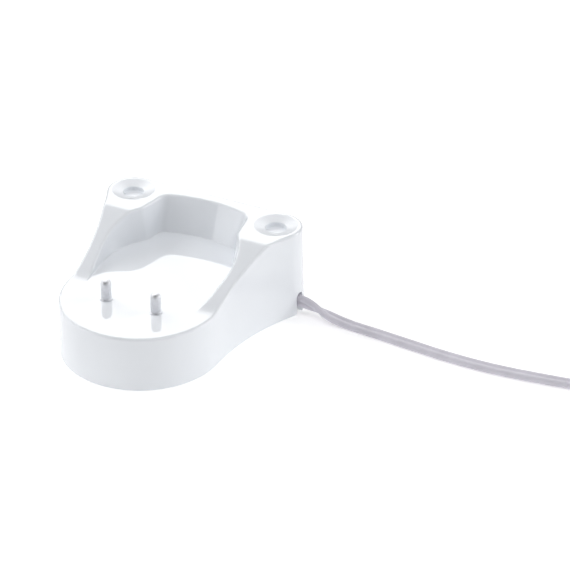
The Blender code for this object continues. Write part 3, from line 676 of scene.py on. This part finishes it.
def casing_skin(plan):
    """The closed outer surface of the casing, with every visible edge rounded."""
    points, faces = [], []

    def add(ring):
        start = len(points)
        points.extend(ring)
        return list(range(start, len(points)))

    def bridge(a, b, closed=True):
        count = len(a)
        for i in range(count if closed else count - 1):
            j = (i + 1) % count
            faces.append((a[i], a[j], b[j], b[i]))

    base, moved = plan.outline(0.0, 6), plan.outline(1.0, 6)
    normals = [(q[0] - p[0], q[1] - p[1]) for p, q in zip(base, moved)]

    def ring_at(rise_of, inset):
        ring = []
        for (x, y), (nx, ny) in zip(base, normals):
            z = rise_of(x, y)
            for _ in range(3):
                back = plan.draft * (z - plan.low) + inset
                z = rise_of(x - nx * back, y - ny * back)
            ring.append((x - nx * back, y - ny * back, z))
        return ring

    edge = plan.LOWER_EDGE
    rings = [
        ring_at(lambda x, y, t=t: plan.low + edge * (1 - math.cos(t)), edge * (1 - math.sin(t)))
        for t in (math.pi / 2 * i / 3 for i in range(4))
    ]
    foot = plan.low + edge
    for share in (0.25, 0.5, 0.75):
        rings.append(
            ring_at(lambda x, y, s=share: foot + (plan.height(y) - plan.rim_r - foot) * s, 0.0)
        )
    for i in range(8):
        turn = math.pi / 2 * i / 7
        down = plan.rim_r * (1 - math.sin(turn))
        rings.append(
            ring_at(lambda x, y, d=down: plan.height(y) - d, plan.rim_r * (1 - math.cos(turn)))
        )
    rows = [add(ring) for ring in rings]
    for a, b in zip(rows, rows[1:]):
        bridge(a, b)
    faces.append(tuple(reversed(rows[0])))
    rim = rows[-1]

    low = rounded(plan.recess_corners(0.0), 28)
    high = rounded(plan.recess_corners(1.0), 28)
    low, high = filled_in(low, [high], 0.8)
    sections = []
    for before, here, there, after in zip([low[0], *low], low, high, [*low[1:], low[-1]]):
        ahead = (after[0] - before[0], after[1] - before[1])
        length = math.hypot(*ahead)
        normal = (ahead[1] / length, -ahead[0] / length)
        section = recess_profile(plan, here, there, normal)
        if section:
            sections.append(add(section))
    for a, b in zip(sections, sections[1:]):
        for i in range(len(a) - 1):
            faces.append((a[i], a[i + 1], b[i + 1], b[i]))
    faces.append(tuple(sections[0]))
    faces.append(tuple(reversed(sections[-1])))
    floor = [s[0] for s in sections]
    recess = [s[-1] for s in sections] + floor[::-1]

    dishes = []
    bottom = plan.top - plan.DISH_DEPTH - plan.SOCKET_DEPTH
    for side in (-1, 1):
        profile = rounded(
            [
                (plan.dish_r + 0.4, plan.top, 0),
                (plan.dish_r, plan.top, plan.DISH_EDGE),
                (plan.socket_r, plan.top - plan.DISH_DEPTH, plan.SOCKET_EDGE),
                (plan.socket_r - plan.SOCKET_DRAFT, bottom, plan.SOCKET_FOOT),
                (0.6, bottom, 0),
            ],
            5,
            closed=False,
        )
        sides = 72
        rings = []
        for radius, z in profile:
            ring = arc((side * plan.corner_x, plan.corner_y), radius, 0, 2 * math.pi, sides)[:-1]
            rings.append(add([(x, y, z) for x, y in ring]))
        for a, b in zip(rings, rings[1:]):
            bridge(a, b)
        faces.append(tuple(rings[-1]))
        dishes.append(rings[0])

    fill_top(plan, points, faces, rim, recess, dishes, floor)
    return points, faces


def fill_top(plan, points, faces, rim, recess, dishes, floor):
    """Fills platform, recess floor, ramps and top between the rounded edges."""
    loops = [rim, recess, *dishes]
    outlines = [[points[i][:2] for i in loop] for loop in loops]
    ids = [i for loop in loops for i in loop]
    flat = [Vector(points[i][:2]) for i in ids]
    keep_off = [*outlines[1:], [points[i][:2] for i in floor]]
    edges = []
    start = 0
    for loop in loops:
        count = len(loop)
        edges += [(start + i, start + (i + 1) % count) for i in range(count)]
        start += count
    ramp_low, ramp_high = plan.ramp_ends()
    step = 1.1
    margin = 0.75
    rows = int((ramp_high - ramp_low) / step) + 3
    for row in range(rows):
        y = ramp_low - step + row * step
        for column in range(int(2 * CASING_HIGH.x / step)):
            x = CASING_LOW.x + (column + 0.5 * (row % 2)) * step
            if not inside(outlines[0], x, y) or any(inside(o, x, y) for o in keep_off):
                continue
            if min(math.dist((x, y), p) for o in outlines for p in o) < margin:
                continue
            points.append((x, y, plan.height(y)))
            ids.append(len(points) - 1)
            flat.append(Vector((x, y)))
    verts, _, found, origins, _, _ = delaunay_2d_cdt(flat, edges, [], 0, 1e-7)
    for face in found:
        middle = sum((verts[i] for i in face), Vector((0, 0))) / len(face)
        if not inside(outlines[0], *middle) or any(inside(o, *middle) for o in outlines[1:]):
            continue
        faces.append(tuple(ids[origins[i][0]] for i in face))


def inner_space(plan):
    """The hollow under the casing's roof, as a tool for carving."""
    below, above, aside, far = 5, 1, 60, 20
    low_outline = plan.outline(plan.draft * below - plan.WALL)
    high_outline = plan.outline(-plan.draft * plan.rise * 2.6 - plan.WALL)
    space = lofted(
        "inner_space",
        [
            [(x, y, plan.low - below) for x, y in low_outline],
            [(x, y, plan.top + above) for x, y in high_outline],
        ],
    )
    samples = [plan.nose_y - aside + i for i in range(0, aside, 10)]
    start, end = plan.ramp_ends()
    samples += [start + (end - start) * i / 12 for i in range(13)] + [plan.corner_y + 30]
    profile = [(y, plan.height(y) - plan.ROOF) for y in samples]
    profile += [(plan.corner_y + 30, plan.top + far), (plan.nose_y - aside, plan.top + far)]
    roof = lofted("roof", [[(x, y, z) for y, z in profile] for x in (-aside, aside)])
    under = -plan.ROOF / plan.rise
    over = 1 + 3 / plan.rise
    low_recess = rounded(plan.recess_corners(under), 6, plan.WALL)
    high_recess = rounded(plan.recess_corners(over), 6, plan.WALL)
    recess = lofted(
        "recess",
        [
            [(x, y, plan.seat - plan.ROOF) for x, y in low_recess],
            [(x, y, plan.top + 3) for x, y in high_recess],
        ],
    )
    tools = [("DIFFERENCE", roof), ("DIFFERENCE", recess)]
    socket_low = plan.top - plan.DISH_DEPTH - plan.SOCKET_DEPTH - plan.ROOF
    for side in (-1, 1):
        place = (side * plan.corner_x, plan.corner_y)
        tools.append(("DIFFERENCE", rod("lid", plan.corner_r + 1, socket_low, plan.top + 5, place)))
    return carve(space, *tools)


def cable_slot(plan):
    """The arched slot at the right rear corner, as a tool for carving."""
    half = plan.SLOT_HALF
    arch_z = plan.low + plan.SLOT_HIGH - half
    middle = CORD_EXIT.y
    profile = [(middle - half, -5.0), (middle + half, -5.0)]
    profile += arc((middle, arch_z), half, 0.0, math.pi, 20)
    outer = plan.corner_x + 2 * plan.corner_r
    ends = (plan.corner_x + plan.WALL, outer)
    return lofted("cable_slot", [[(x, y, z) for y, z in profile] for x in ends])


def satin_dishes(casing, plan, satin):
    """Puts the satin finish on the dishes and sockets."""
    casing.data.materials.append(satin)
    reach, upper = (plan.dish_r + 0.1) * MM, (plan.top - 0.05) * MM
    lower = (plan.top - plan.DISH_DEPTH - plan.SOCKET_DEPTH - 0.1) * MM
    places = [Vector((side * plan.corner_x, plan.corner_y)) * MM for side in (-1, 1)]
    for face in casing.data.polygons:
        near = any((face.center.xy - place).length < reach for place in places)
        if near and lower < face.center.z < upper and face.normal.z > -0.5:
            face.material_index = 1


def make_casing(settings, gloss, satin):
    """The casing, hollowed, with its cable slot, screw posts and pin holes."""
    plan = CasingPlan(settings)
    points, faces = casing_skin(plan)
    casing = mesh_object("casing", points, faces)
    steps = [("DIFFERENCE", inner_space(plan)), ("DIFFERENCE", cable_slot(plan))]
    for i in range(1, 5):
        low, high = box_mm(f"base_screw_{i}")
        place = ((low.x + high.x) / 2, (low.y + high.y) / 2)
        behind = place[1] > plan.nose_y + 5
        roof = plan.top - plan.ROOF - plan.POST_GAP if behind else plan.ceiling + plan.POST_ROOT
        post = rod(f"post_{i}", plan.POST_R, plan.low + plan.POST_FOOT, roof, place, 32)
        foot, stop = plan.low + plan.PILOT_FOOT, plan.ceiling - plan.PILOT_STOP
        pilot = rod(f"pilot_{i}", plan.PILOT_R, foot, stop, place, 20)
        steps += [("UNION", post), ("DIFFERENCE", pilot)]
    for side in (-1, 1):
        place = (side * PIN_MIDDLE.x, PIN_MIDDLE.y)
        hole = rod("pin_hole", plan.PIN_HOLE_R, plan.ceiling - 2, plan.seat + 2, place, 32)
        steps.append(("DIFFERENCE", hole))
    carve(casing, *steps)
    tidy_shading(casing, 32)
    even_normals(casing)
    dress(casing, gloss)
    satin_dishes(casing, plan, satin)
    stand_in(casing, "casing_white", "housing_top")
    return casing


# --------------------------------------------------------------------- pieces

def make_pins(material):
    """Plated contact pins with a domed tip, a fine edge and a thin flange."""
    seat = CasingPlan(bpy.context.scene.base_casing).seat
    radius, dome, flange_r, flange_t, shank_r = 1.75, 1.35, 2.15, 0.4, 1.4
    tip = PIN_HIGH.z
    for side, tag in ((-1, "left"), (1, "right")):
        profile = rounded(
            [
                (0, tip, 0),
                (radius, tip, dome),
                (radius, seat + flange_t + 0.02, 0.18),
                (flange_r, seat + flange_t, 0.14),
                (flange_r, seat + 0.01, 0.05),
                (shank_r, seat + 0.01, 0.05),
                (shank_r, PIN_LOW.z, 0.3),
                (0, PIN_LOW.z, 0),
            ],
            9,
            closed=False,
        )
        pin = turned(f"pin_{tag}", profile, (side * PIN_MIDDLE.x, PIN_MIDDLE.y, 0), 64)
        even_normals(dress(pin, material))
        stand_in(pin, "pin_metal", f"contact_pin_{tag}")


def smooth_line(knots, step):
    """Points about step apart on a smooth curve through the knots."""
    ends = [
        [2 * a - b for a, b in zip(knots[0], knots[1])],
        [2 * a - b for a, b in zip(knots[-1], knots[-2])],
    ]
    held = [Vector(p) for p in [ends[0], *knots, ends[1]]]
    points = [held[1]]
    for a, b, c, d in zip(held, held[1:], held[2:], held[3:]):
        pieces = max(1, round((c - b).length / step))
        for i in range(1, pieces + 1):
            t = i / pieces
            points.append(
                0.5 * (
                    2 * b
                    + (c - a) * t
                    + (2 * a - 5 * b + 4 * c - d) * t**2
                    + (3 * b - a - 3 * c + d) * t**3
                )
            )
    return points


def eased(share):
    share = max(0.0, min(1.0, share))
    return share * share * (3 - 2 * share)


def cord_route(settings):
    """The cord's middle line, and at each point how far its two cores stand one
    above the other: 0 side by side on the floor, 1 upright."""
    core = settings.core / MM
    floor = core / 2 + LIFT
    exit_z = CORD_EXIT.z
    outer = COIL_OUTER
    start_y = COIL_MIDDLE.y + outer
    knots = [
        (19.0, CORD_EXIT.y, exit_z),
        (30.0, CORD_EXIT.y, exit_z),
        (38.0, CORD_EXIT.y, exit_z - 0.1),
        (44.0, 29.9, 4.2),
        (50.0, 29.6, 2.4),
        (57.5, 29.5, floor),
        (69.5, 28.5, floor),
        (81.3, 27.4, floor),
        (92.9, 26.4, floor),
        (104.0, 26.1, floor),
        (114.6, 26.5, floor),
        (126.5, 27.8, floor),
        (138.6, 29.6, floor),
        (152.0, 31.9, floor),
        (165.0, 33.7, floor),
        (COIL_MIDDLE.x - 16.0, start_y, floor),
        (COIL_MIDDLE.x - 7.0, start_y + 0.1, floor),
        (COIL_MIDDLE.x, start_y, floor),
    ]
    line = smooth_line(knots, 1.6)
    upright = []
    for p in line:
        leaving = 1 - eased((p.x - 39.0) / 12.0)
        arriving = eased((p.x - (COIL_MIDDLE.x - 30.0)) / 26.0)
        if arriving:
            p.z = floor + core / 2 * math.sin(arriving * math.pi / 2) + TIE_T * arriving
        upright.append(max(leaving, arriving))

    leave, steps_a_turn = math.radians(60), 60
    turns = settings.turns + (math.pi / 2 - leave) / (2 * math.pi)
    inner = outer - COIL_LAYER_TURNS * (core + TURN_GAP)
    bottom, layer = line[-1].z, 2 * core + LIFT
    pieces = round(turns * steps_a_turn)
    for i in range(1, pieces + 1):
        share = i / pieces
        turn = math.pi / 2 - 2 * math.pi * turns * share
        radius = inner + (outer - inner) * abs(1 - 2 * share)
        z = bottom + layer * eased((share - 0.47) / 0.06)
        x, y = COIL_MIDDLE.x + radius * math.cos(turn), COIL_MIDDLE.y + radius * math.sin(turn)
        line.append(Vector((x, y, z)))
        upright.append(1.0)

    top, last = line[-1].z, line[-1].copy()
    bend = 26.0
    corner_x = PLUG_MIDDLE.x - bend * (1 - math.sin(math.pi / 2 - leave))
    corner_y = last.y - (corner_x - last.x) / math.tan(leave)
    centre = (PLUG_MIDDLE.x - bend, corner_y - bend * math.sin(leave))
    tail = [last.xy.lerp((corner_x, corner_y), i / 6) for i in range(1, 6)]
    tail += [Vector(p) for p in arc(centre, bend, leave, 0.0, 18)]
    end_y = RELIEF_HIGH.y - 1.0
    tail += [Vector((PLUG_MIDDLE.x, centre[1] + (end_y - centre[1]) * i / 3)) for i in (1, 2, 3)]
    for i, p in enumerate(tail, 1):
        share = eased(i / (len(tail) - 3))
        line.append(Vector((*p, top + (PLUG_MIDDLE.z - top) * share)))
        upright.append(1 - share)
    return line, upright


def twin_section(core, parts=14):
    """A figure-of-eight section: two round cores joined by a narrow web."""
    radius, web = core / 2, 0.32 * core
    start = math.asin(web / radius)
    right = arc((radius * 0.985, 0.0), radius, -math.pi + start, math.pi - start, parts)
    return right + [(-x, -y) for x, y in right]


def make_cord(settings, material):
    line, upright = cord_route(settings)
    core = settings.core / MM
    section = twin_section(core)
    count = len(section)
    points, faces = [], []
    up = Vector((0, 0, 1))
    for i, place in enumerate(line):
        before, after = line[max(0, i - 1)], line[min(len(line) - 1, i + 1)]
        ahead = (after - before).normalized()
        side = ahead.cross(up).normalized()
        rise = side.cross(ahead).normalized()
        turn = upright[i] * math.pi / 2
        across = side * math.cos(turn) + rise * math.sin(turn)
        over = ahead.cross(across).normalized()
        points += [tuple(place + across * u - over * v) for u, v in section]
    for row in range(len(line) - 1):
        for i in range(count):
            j = (i + 1) % count
            a, b = row * count, (row + 1) * count
            faces.append((a + i, a + j, b + j, b + i))
    faces.append(tuple(reversed(range(count))))
    faces.append(tuple(len(points) - count + i for i in range(count)))
    cord = mesh_object("twin_cord", points, faces, 50)
    dress(cord, material)
    stand_in(cord, "cord_grey", "cord_run", "cord_coil", "cord_tail")
    return cord, [tuple(p * MM) for p in line]


def make_tie(settings, material):
    """A woven hook-and-loop strap round all of the coil's turns, its end lapped on top."""
    core = settings.core / MM
    slack, fold, lap, half_width = 0.04, 1.1, 0.55, 4.5
    across = COIL_LAYER_TURNS * (core + TURN_GAP) / 2
    half_r, half_z = across + core / 2 + slack, 2 * core + 2 * slack
    middle_r, middle_z = COIL_OUTER - across, TIE_T + half_z
    corners = [(half_r, -half_z), (half_r, half_z), (-half_r, half_z), (-half_r, -half_z)]
    inner = rounded([(u, v, fold) for u, v in corners], 6)
    outer = rounded([(u, v, fold) for u, v in corners], 6, TIE_T - slack)
    inner, outer = filled_in(inner + inner[:1], [outer + outer[:1]], 0.8)
    inner, outer = inner[:-1], outer[:-1]
    lapped = []
    for u, v in outer:
        on_top = eased((v - half_z + 0.6) / 0.5) * eased((u + half_r - 2.4) / 0.5)
        lapped.append((u, v + lap * on_top))
    points, faces = [], []
    stations, count = 9, len(inner)
    for i in range(stations):
        aside = half_width * (2 * i / (stations - 1) - 1)
        turn = math.radians(200) + aside / middle_r
        for u, v in inner + lapped:
            radius = middle_r + u
            x = COIL_MIDDLE.x + radius * math.cos(turn)
            y = COIL_MIDDLE.y + radius * math.sin(turn)
            points.append((x, y, middle_z + v))
    for i in range(stations - 1):
        for shift in (0, count):
            for k in range(count):
                a, b = 2 * count * i + shift, 2 * count * (i + 1) + shift
                faces.append((a + k, a + (k + 1) % count, b + (k + 1) % count, b + k))
    for start in (0, 2 * count * (stations - 1)):
        for k in range(count):
            j = (k + 1) % count
            faces.append((start + k, start + j, start + count + j, start + count + k))
    tie = mesh_object("coil_tie", points, faces, 40)
    dress(tie, material)
    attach(tie, ROOT)
    return tie


def make_plug(settings, sheath, plating):
    """A moulded two-blade plug with grip ribs, ringed strain relief and blades."""
    wide, tall = PLUG_HIGH.x - PLUG_LOW.x, PLUG_HIGH.z - PLUG_LOW.z
    front, rear = PLUG_LOW.y, PLUG_HIGH.y
    long = rear - front
    rings = []
    stations, grip_start, grip_end, rib_depth, ribs, neck = 64, 0.16, 0.66, 0.32, 5, 0.62
    for i in range(stations + 1):
        share = i / stations
        y = front + long * share
        face = 1 - 0.09 * (1 - eased(share / 0.06))
        narrowing = eased((share - neck) / 0.38) ** 1.3
        rib = 0.0
        if grip_start < share < grip_end:
            wave = math.cos((share - grip_start) / 0.5 * 2 * ribs * math.pi)
            rib = -rib_depth * (0.5 - 0.5 * wave)
        half_w = wide / 2 * face * (1 - 0.42 * narrowing) + rib
        half_h = tall / 2 * face * (1 - 0.30 * narrowing)
        corner = min(half_w, half_h) * 0.55
        outline = rounded(
            [
                (half_w, -half_h, corner),
                (half_w, half_h, corner),
                (-half_w, half_h, corner),
                (-half_w, -half_h, corner),
            ],
            9,
        )
        rings.append([(PLUG_MIDDLE.x + u, y, PLUG_MIDDLE.z + v) for u, v in reversed(outline)])
    body = lofted("plug_moulding", rings)
    steps = []
    spacing = settings.blade_spacing / MM
    blade_w, blade_t, blade_l, blade_root, room_gap = 6.35, 1.5, 17.5, 5.7, 0.05
    eye_r, eye_back = 1.6, 4.2
    blades = []
    for side, tag in ((-1, "left"), (1, "right")):
        x, z = PLUG_MIDDLE.x + side * spacing / 2, PLUG_MIDDLE.z
        room = block(
            f"room_{tag}",
            (x - blade_t / 2 - room_gap, front - 1, z - blade_w / 2 - room_gap),
            (x + blade_t / 2 + room_gap, front + blade_root + 0.2, z + blade_w / 2 + room_gap),
        )
        steps.append(("DIFFERENCE", room))
        blade = block(
            f"blade_{tag}",
            (x - blade_t / 2, front - blade_l, z - blade_w / 2),
            (x + blade_t / 2, front + blade_root, z + blade_w / 2),
        )
        ring = arc((front - blade_l + eye_back, z), eye_r, 0, 2 * math.pi, 32)[:-1]
        eye = lofted(f"eye_{tag}", [[(x + off, u, v) for u, v in ring] for off in (-2, 2)])
        carve(blade, ("DIFFERENCE", eye))
        tidy_shading(blade, 30)
        step = blade.modifiers.new("dressed_edges", "BEVEL")
        step.width, step.segments, step.limit_method = 0.25 * MM, 2, "ANGLE"
        dress(blade, plating)
        blades.append(stand_in(blade, "blade_metal", f"plug_blade_{tag}"))
    carve(body, *steps)
    tidy_shading(body, 40)
    dress(body, sheath)
    stand_in(body, "cord_grey", "plug_body")

    reach = RELIEF_HIGH.y - RELIEF_LOW.y
    profile = [(0, 0), (1.7, 0)]
    grooves, steps_each, thin_end, widening, groove_depth = 5, 8, 2.1, 1.5, 0.45
    for i in range(grooves * steps_each + 1):
        share = i / (grooves * steps_each)
        radius = thin_end + widening * share
        groove = groove_depth * (0.5 - 0.5 * math.cos(2 * math.pi * grooves * share))
        profile.append((radius - groove, -0.3 - (reach - 0.3) * share))
    profile.append((0, -reach))
    relief = turned("plug_relief", profile, (PLUG_MIDDLE.x, RELIEF_HIGH.y, PLUG_MIDDLE.z), 40, 60)
    relief.rotation_euler.x = math.radians(-90)
    dress(relief, sheath)
    stand_in(relief, "cord_grey", "plug_strain_relief")
    return [body, relief, *blades]


BLACK, BROWN, BLUE = (0.02, 0.02, 0.022), (0.16, 0.07, 0.03), (0.03, 0.10, 0.40)


def dress_frame_nodes(finishes):
    """Gives every carried-over part of the frame its material."""
    black = satin_plastic("moulded_epoxy", BLACK, 0.4)
    sleeve = satin_plastic("capacitor_sleeve", (0.03, 0.035, 0.06), 0.25)
    zinc = metal("zinc_plate", (0.62, 0.62, 0.60), 0.3)
    looks = {
        "base_plate": satin_plastic("base_satin", finishes.base),
        "cable_clamp": satin_plastic("clamp_satin", finishes.base),
        "foot": rubber("foot_rubber", finishes.feet),
        "base_screw": zinc,
        "board_screw": zinc,
        "clamp_screw": zinc,
        "pin_nut": zinc,
        "pin_seal": rubber("seal_rubber", BLACK),
        "pin_terminal": metal("terminal_brass", (0.78, 0.57, 0.26), 0.28),
        "pin_wire_left": satin_plastic("brown_insulation", BROWN, 0.3),
        "mains_wire_live": satin_plastic("live_insulation", BROWN, 0.3),
        "pin_wire_right": satin_plastic("blue_insulation", BLUE, 0.3),
        "mains_wire_neutral": satin_plastic("neutral_insulation", BLUE, 0.3),
        "circuit_board": solder_mask(),
        "transformer_core": rubber("sintered_ferrite", (0.05, 0.05, 0.055)),
        "transformer_bobbin": black,
        "transformer_winding": wound_tape(),
        "input_capacitor": sleeve,
        "output_capacitor": sleeve,
        "fusible_resistor": satin_plastic("ceramic_tan", (0.55, 0.42, 0.26), 0.5),
        "safety_capacitor": satin_plastic("dipped_blue", (0.03, 0.12, 0.42), 0.25),
        "output_diode": black,
        "bridge_rectifier": black,
        "controller_chip": black,
        "optocoupler": black,
    }
    for name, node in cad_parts.items():
        for start, material in looks.items():
            if name.startswith(start):
                dress(node, material)


# ---------------------------------------------------------------------- stage

def make_floor(settings):
    size, below = 3.0, 0.05 * MM
    tone = settings.floor_tone
    bpy.ops.mesh.primitive_plane_add(size=size, location=(0.1, 0.1, -below))
    floor = bpy.context.object
    floor.name = "studio_floor"
    material = new_material(
        "light_table", (tone, tone, tone), 0.9,
        **{"Emission Color": (1, 1, 1, 1), "Emission Strength": settings.floor_glow},
    )
    fibre = add_texture(material, "ShaderNodeTexNoise", 30.0, 4.0)
    vary_colour(material, fibre, (tone * 0.995,) * 3, (tone,) * 3)
    dress(floor, material)


LAMPS = {
    # name: (azimuth, elevation, half width, half height) in degrees, brightness, and
    # whether it shows in the gloss only, lights without showing in it, or both
    "rear_left_panel": (-153, 31, 24, 8, 2.9, "gloss"),
    "rear_left_spill": (-153, 35.5, 27, 12, 0.96, "gloss"),
    "rear_left_upper": (-153, 43.5, 24, 4.5, 1.94, "gloss"),
    "rear_left_fade": (-148, 52.5, 24, 4.5, 0.60, "gloss"),
    "rear_left_lower": (-153, 18, 24, 5, 0.36, "gloss"),
    "left_panel": (-110, 35, 18, 14, 3.2, "both"),
    "left_strip": (-80, 18, 16, 12, 0.9, "both"),
    "left_high_panel": (-65, 48, 18, 13, 0.7, "both"),
    "front_left_strip": (-50, 18, 16, 12, 2.1, "both"),
    "front_strip": (0, 15, 18, 11, 0.3, "both"),
    "right_panel": (70, 45, 18, 13, 1.7, "both"),
    "rear_right_strip": (120, 15, 15, 11, 4.3, "both"),
    "rear_right_panel": (125, 35, 15, 11, 1.5, "both"),
    "overhead": (0, 78, 22, 22, 1.85, "fill"),
}


def make_lights(settings):
    """Soft panels on a dome round the base, each facing it."""
    reach = settings.lamp_distance
    aim = Vector((0.0, 0.0, CASING_HIGH.z / 2 * MM))
    for name, (azimuth, elevation, half_w, half_h, brightness, role) in LAMPS.items():
        data = bpy.data.lights.new(name, "AREA")
        data.shape = "RECTANGLE"
        data.size = 2 * reach * math.tan(math.radians(half_w))
        data.size_y = 2 * reach * math.tan(math.radians(half_h))
        data.energy = brightness * settings.lamp_strength * math.pi * data.size * data.size_y
        lamp = bpy.data.objects.new(name, data)
        bpy.context.scene.collection.objects.link(lamp)
        out = direction(math.radians(azimuth), math.radians(elevation))
        lamp.location = aim + out * reach
        lamp.rotation_euler = out.to_track_quat("Z", "Y").to_euler()
        lamp.visible_diffuse = role != "gloss"
        lamp.visible_glossy = role != "fill"
    world = bpy.data.worlds.new("studio_air")
    bpy.context.scene.world = world
    world.use_nodes = True
    sky = world.node_tree.nodes["Background"]
    sky.inputs["Color"].default_value = (1.0, 1.0, 1.0, 1.0)
    sky.inputs["Strength"].default_value = 0.02


def direction(azimuth, elevation):
    """Outward from the base: azimuth 0 is the front, and it grows to the right."""
    level = math.cos(elevation)
    return Vector((math.sin(azimuth) * level, -math.cos(azimuth) * level, math.sin(elevation)))


# What the camera aims at, from the middle of the casing, so that the cord's start shows too.
AIM_ASIDE, AIM_BEHIND, AIM_HEIGHT = 36.035, 22.208, 15.0


def make_camera(settings):
    data = bpy.data.cameras.new("camera")
    data.sensor_width = 36.0
    data.lens = settings.lens
    camera = bpy.data.objects.new("camera", data)
    bpy.context.scene.collection.objects.link(camera)
    back = direction(settings.azimuth, settings.elevation)
    middle = (CASING_LOW + CASING_HIGH) / 2
    aim = Vector((middle.x + AIM_ASIDE, middle.y + AIM_BEHIND, CASING_LOW.z + AIM_HEIGHT)) * MM
    camera.location = aim + back * settings.distance
    camera.rotation_euler = (-back).to_track_quat("-Z", "Y").to_euler()
    bpy.context.scene.camera = camera


# ------------------------------------------------------------------ operators

class BASE_OT_casing(bpy.types.Operator):
    """Make the glossy casing"""

    bl_idname = "charging_base.casing"
    bl_label = "Casing"

    def execute(self, context):
        finishes = context.scene.base_finishes
        gloss, satin = glossy_white(finishes.casing), satin_white(finishes.casing)
        make_casing(context.scene.base_casing, gloss, satin)
        return {"FINISHED"}


class BASE_OT_pins(bpy.types.Operator):
    """Make the contact pins"""

    bl_idname = "charging_base.pins"
    bl_label = "Contact pins"

    def execute(self, context):
        make_pins(metal("pin_plating", (0.90, 0.91, 0.94), 0.62))
        return {"FINISHED"}


class BASE_OT_inner_parts(bpy.types.Operator):
    """Dress the base plate, feet, fasteners and electronics"""

    bl_idname = "charging_base.inner_parts"
    bl_label = "Base plate and inner parts"

    def execute(self, context):
        dress_frame_nodes(context.scene.base_finishes)
        return {"FINISHED"}


class BASE_OT_cord(bpy.types.Operator):
    """Make the twin cord and its plug"""

    bl_idname = "charging_base.cord"
    bl_label = "Cord and plug"

    def execute(self, context):
        settings = context.scene.base_cord
        sheath = cord_sheath(context.scene.base_finishes.cord)
        cord, path = make_cord(settings, sheath)
        carried = make_plug(settings, sheath, metal("blade_nickel", (0.80, 0.78, 0.73), 0.2))
        carried.append(make_tie(settings, woven_strap()))
        return {"FINISHED"}


class BASE_OT_stage(bpy.types.Operator):
    """Set up the floor, lights and camera"""

    bl_idname = "charging_base.stage"
    bl_label = "Stage"

    def execute(self, context):
        settings = context.scene.base_stage
        make_floor(settings)
        make_lights(settings)
        make_camera(settings)
        context.scene.view_settings.view_transform = "Standard"
        return {"FINISHED"}


class BASE_PT_panel(bpy.types.Panel):
    """Lists the base's pieces and settings"""

    bl_idname = "BASE_PT_panel"
    bl_label = "Charging Base"
    bl_space_type = "VIEW_3D"
    bl_region_type = "UI"
    bl_category = "Charging Base"

    def draw(self, context):
        scene = context.scene
        for operator in PIECES:
            self.layout.operator(operator.bl_idname)
        for group in GROUPS:
            box = self.layout.box()
            settings = getattr(scene, group)
            for name in GROUPS[group].__annotations__:
                box.prop(settings, name)


PIECES = (BASE_OT_stage, BASE_OT_cord, BASE_OT_casing, BASE_OT_pins, BASE_OT_inner_parts)
GROUPS = {
    "base_casing": CasingSettings,
    "base_cord": CordSettings,
    "base_finishes": FinishSettings,
    "base_stage": StageSettings,
}


def register():
    for group, settings in GROUPS.items():
        bpy.utils.register_class(settings)
        setattr(bpy.types.Scene, group, PointerProperty(type=settings))
    for operator in PIECES:
        bpy.utils.register_class(operator)
    bpy.utils.register_class(BASE_PT_panel)


def unregister():
    bpy.utils.unregister_class(BASE_PT_panel)
    for operator in reversed(PIECES):
        bpy.utils.unregister_class(operator)
    for group, settings in GROUPS.items():
        delattr(bpy.types.Scene, group)
        bpy.utils.unregister_class(settings)


def main():
    register()
    bpy.ops.charging_base.stage()
    bpy.ops.charging_base.cord()
    bpy.ops.charging_base.casing()
    bpy.ops.charging_base.pins()
    bpy.ops.charging_base.inner_parts()


if __name__ == "__main__":
    main()
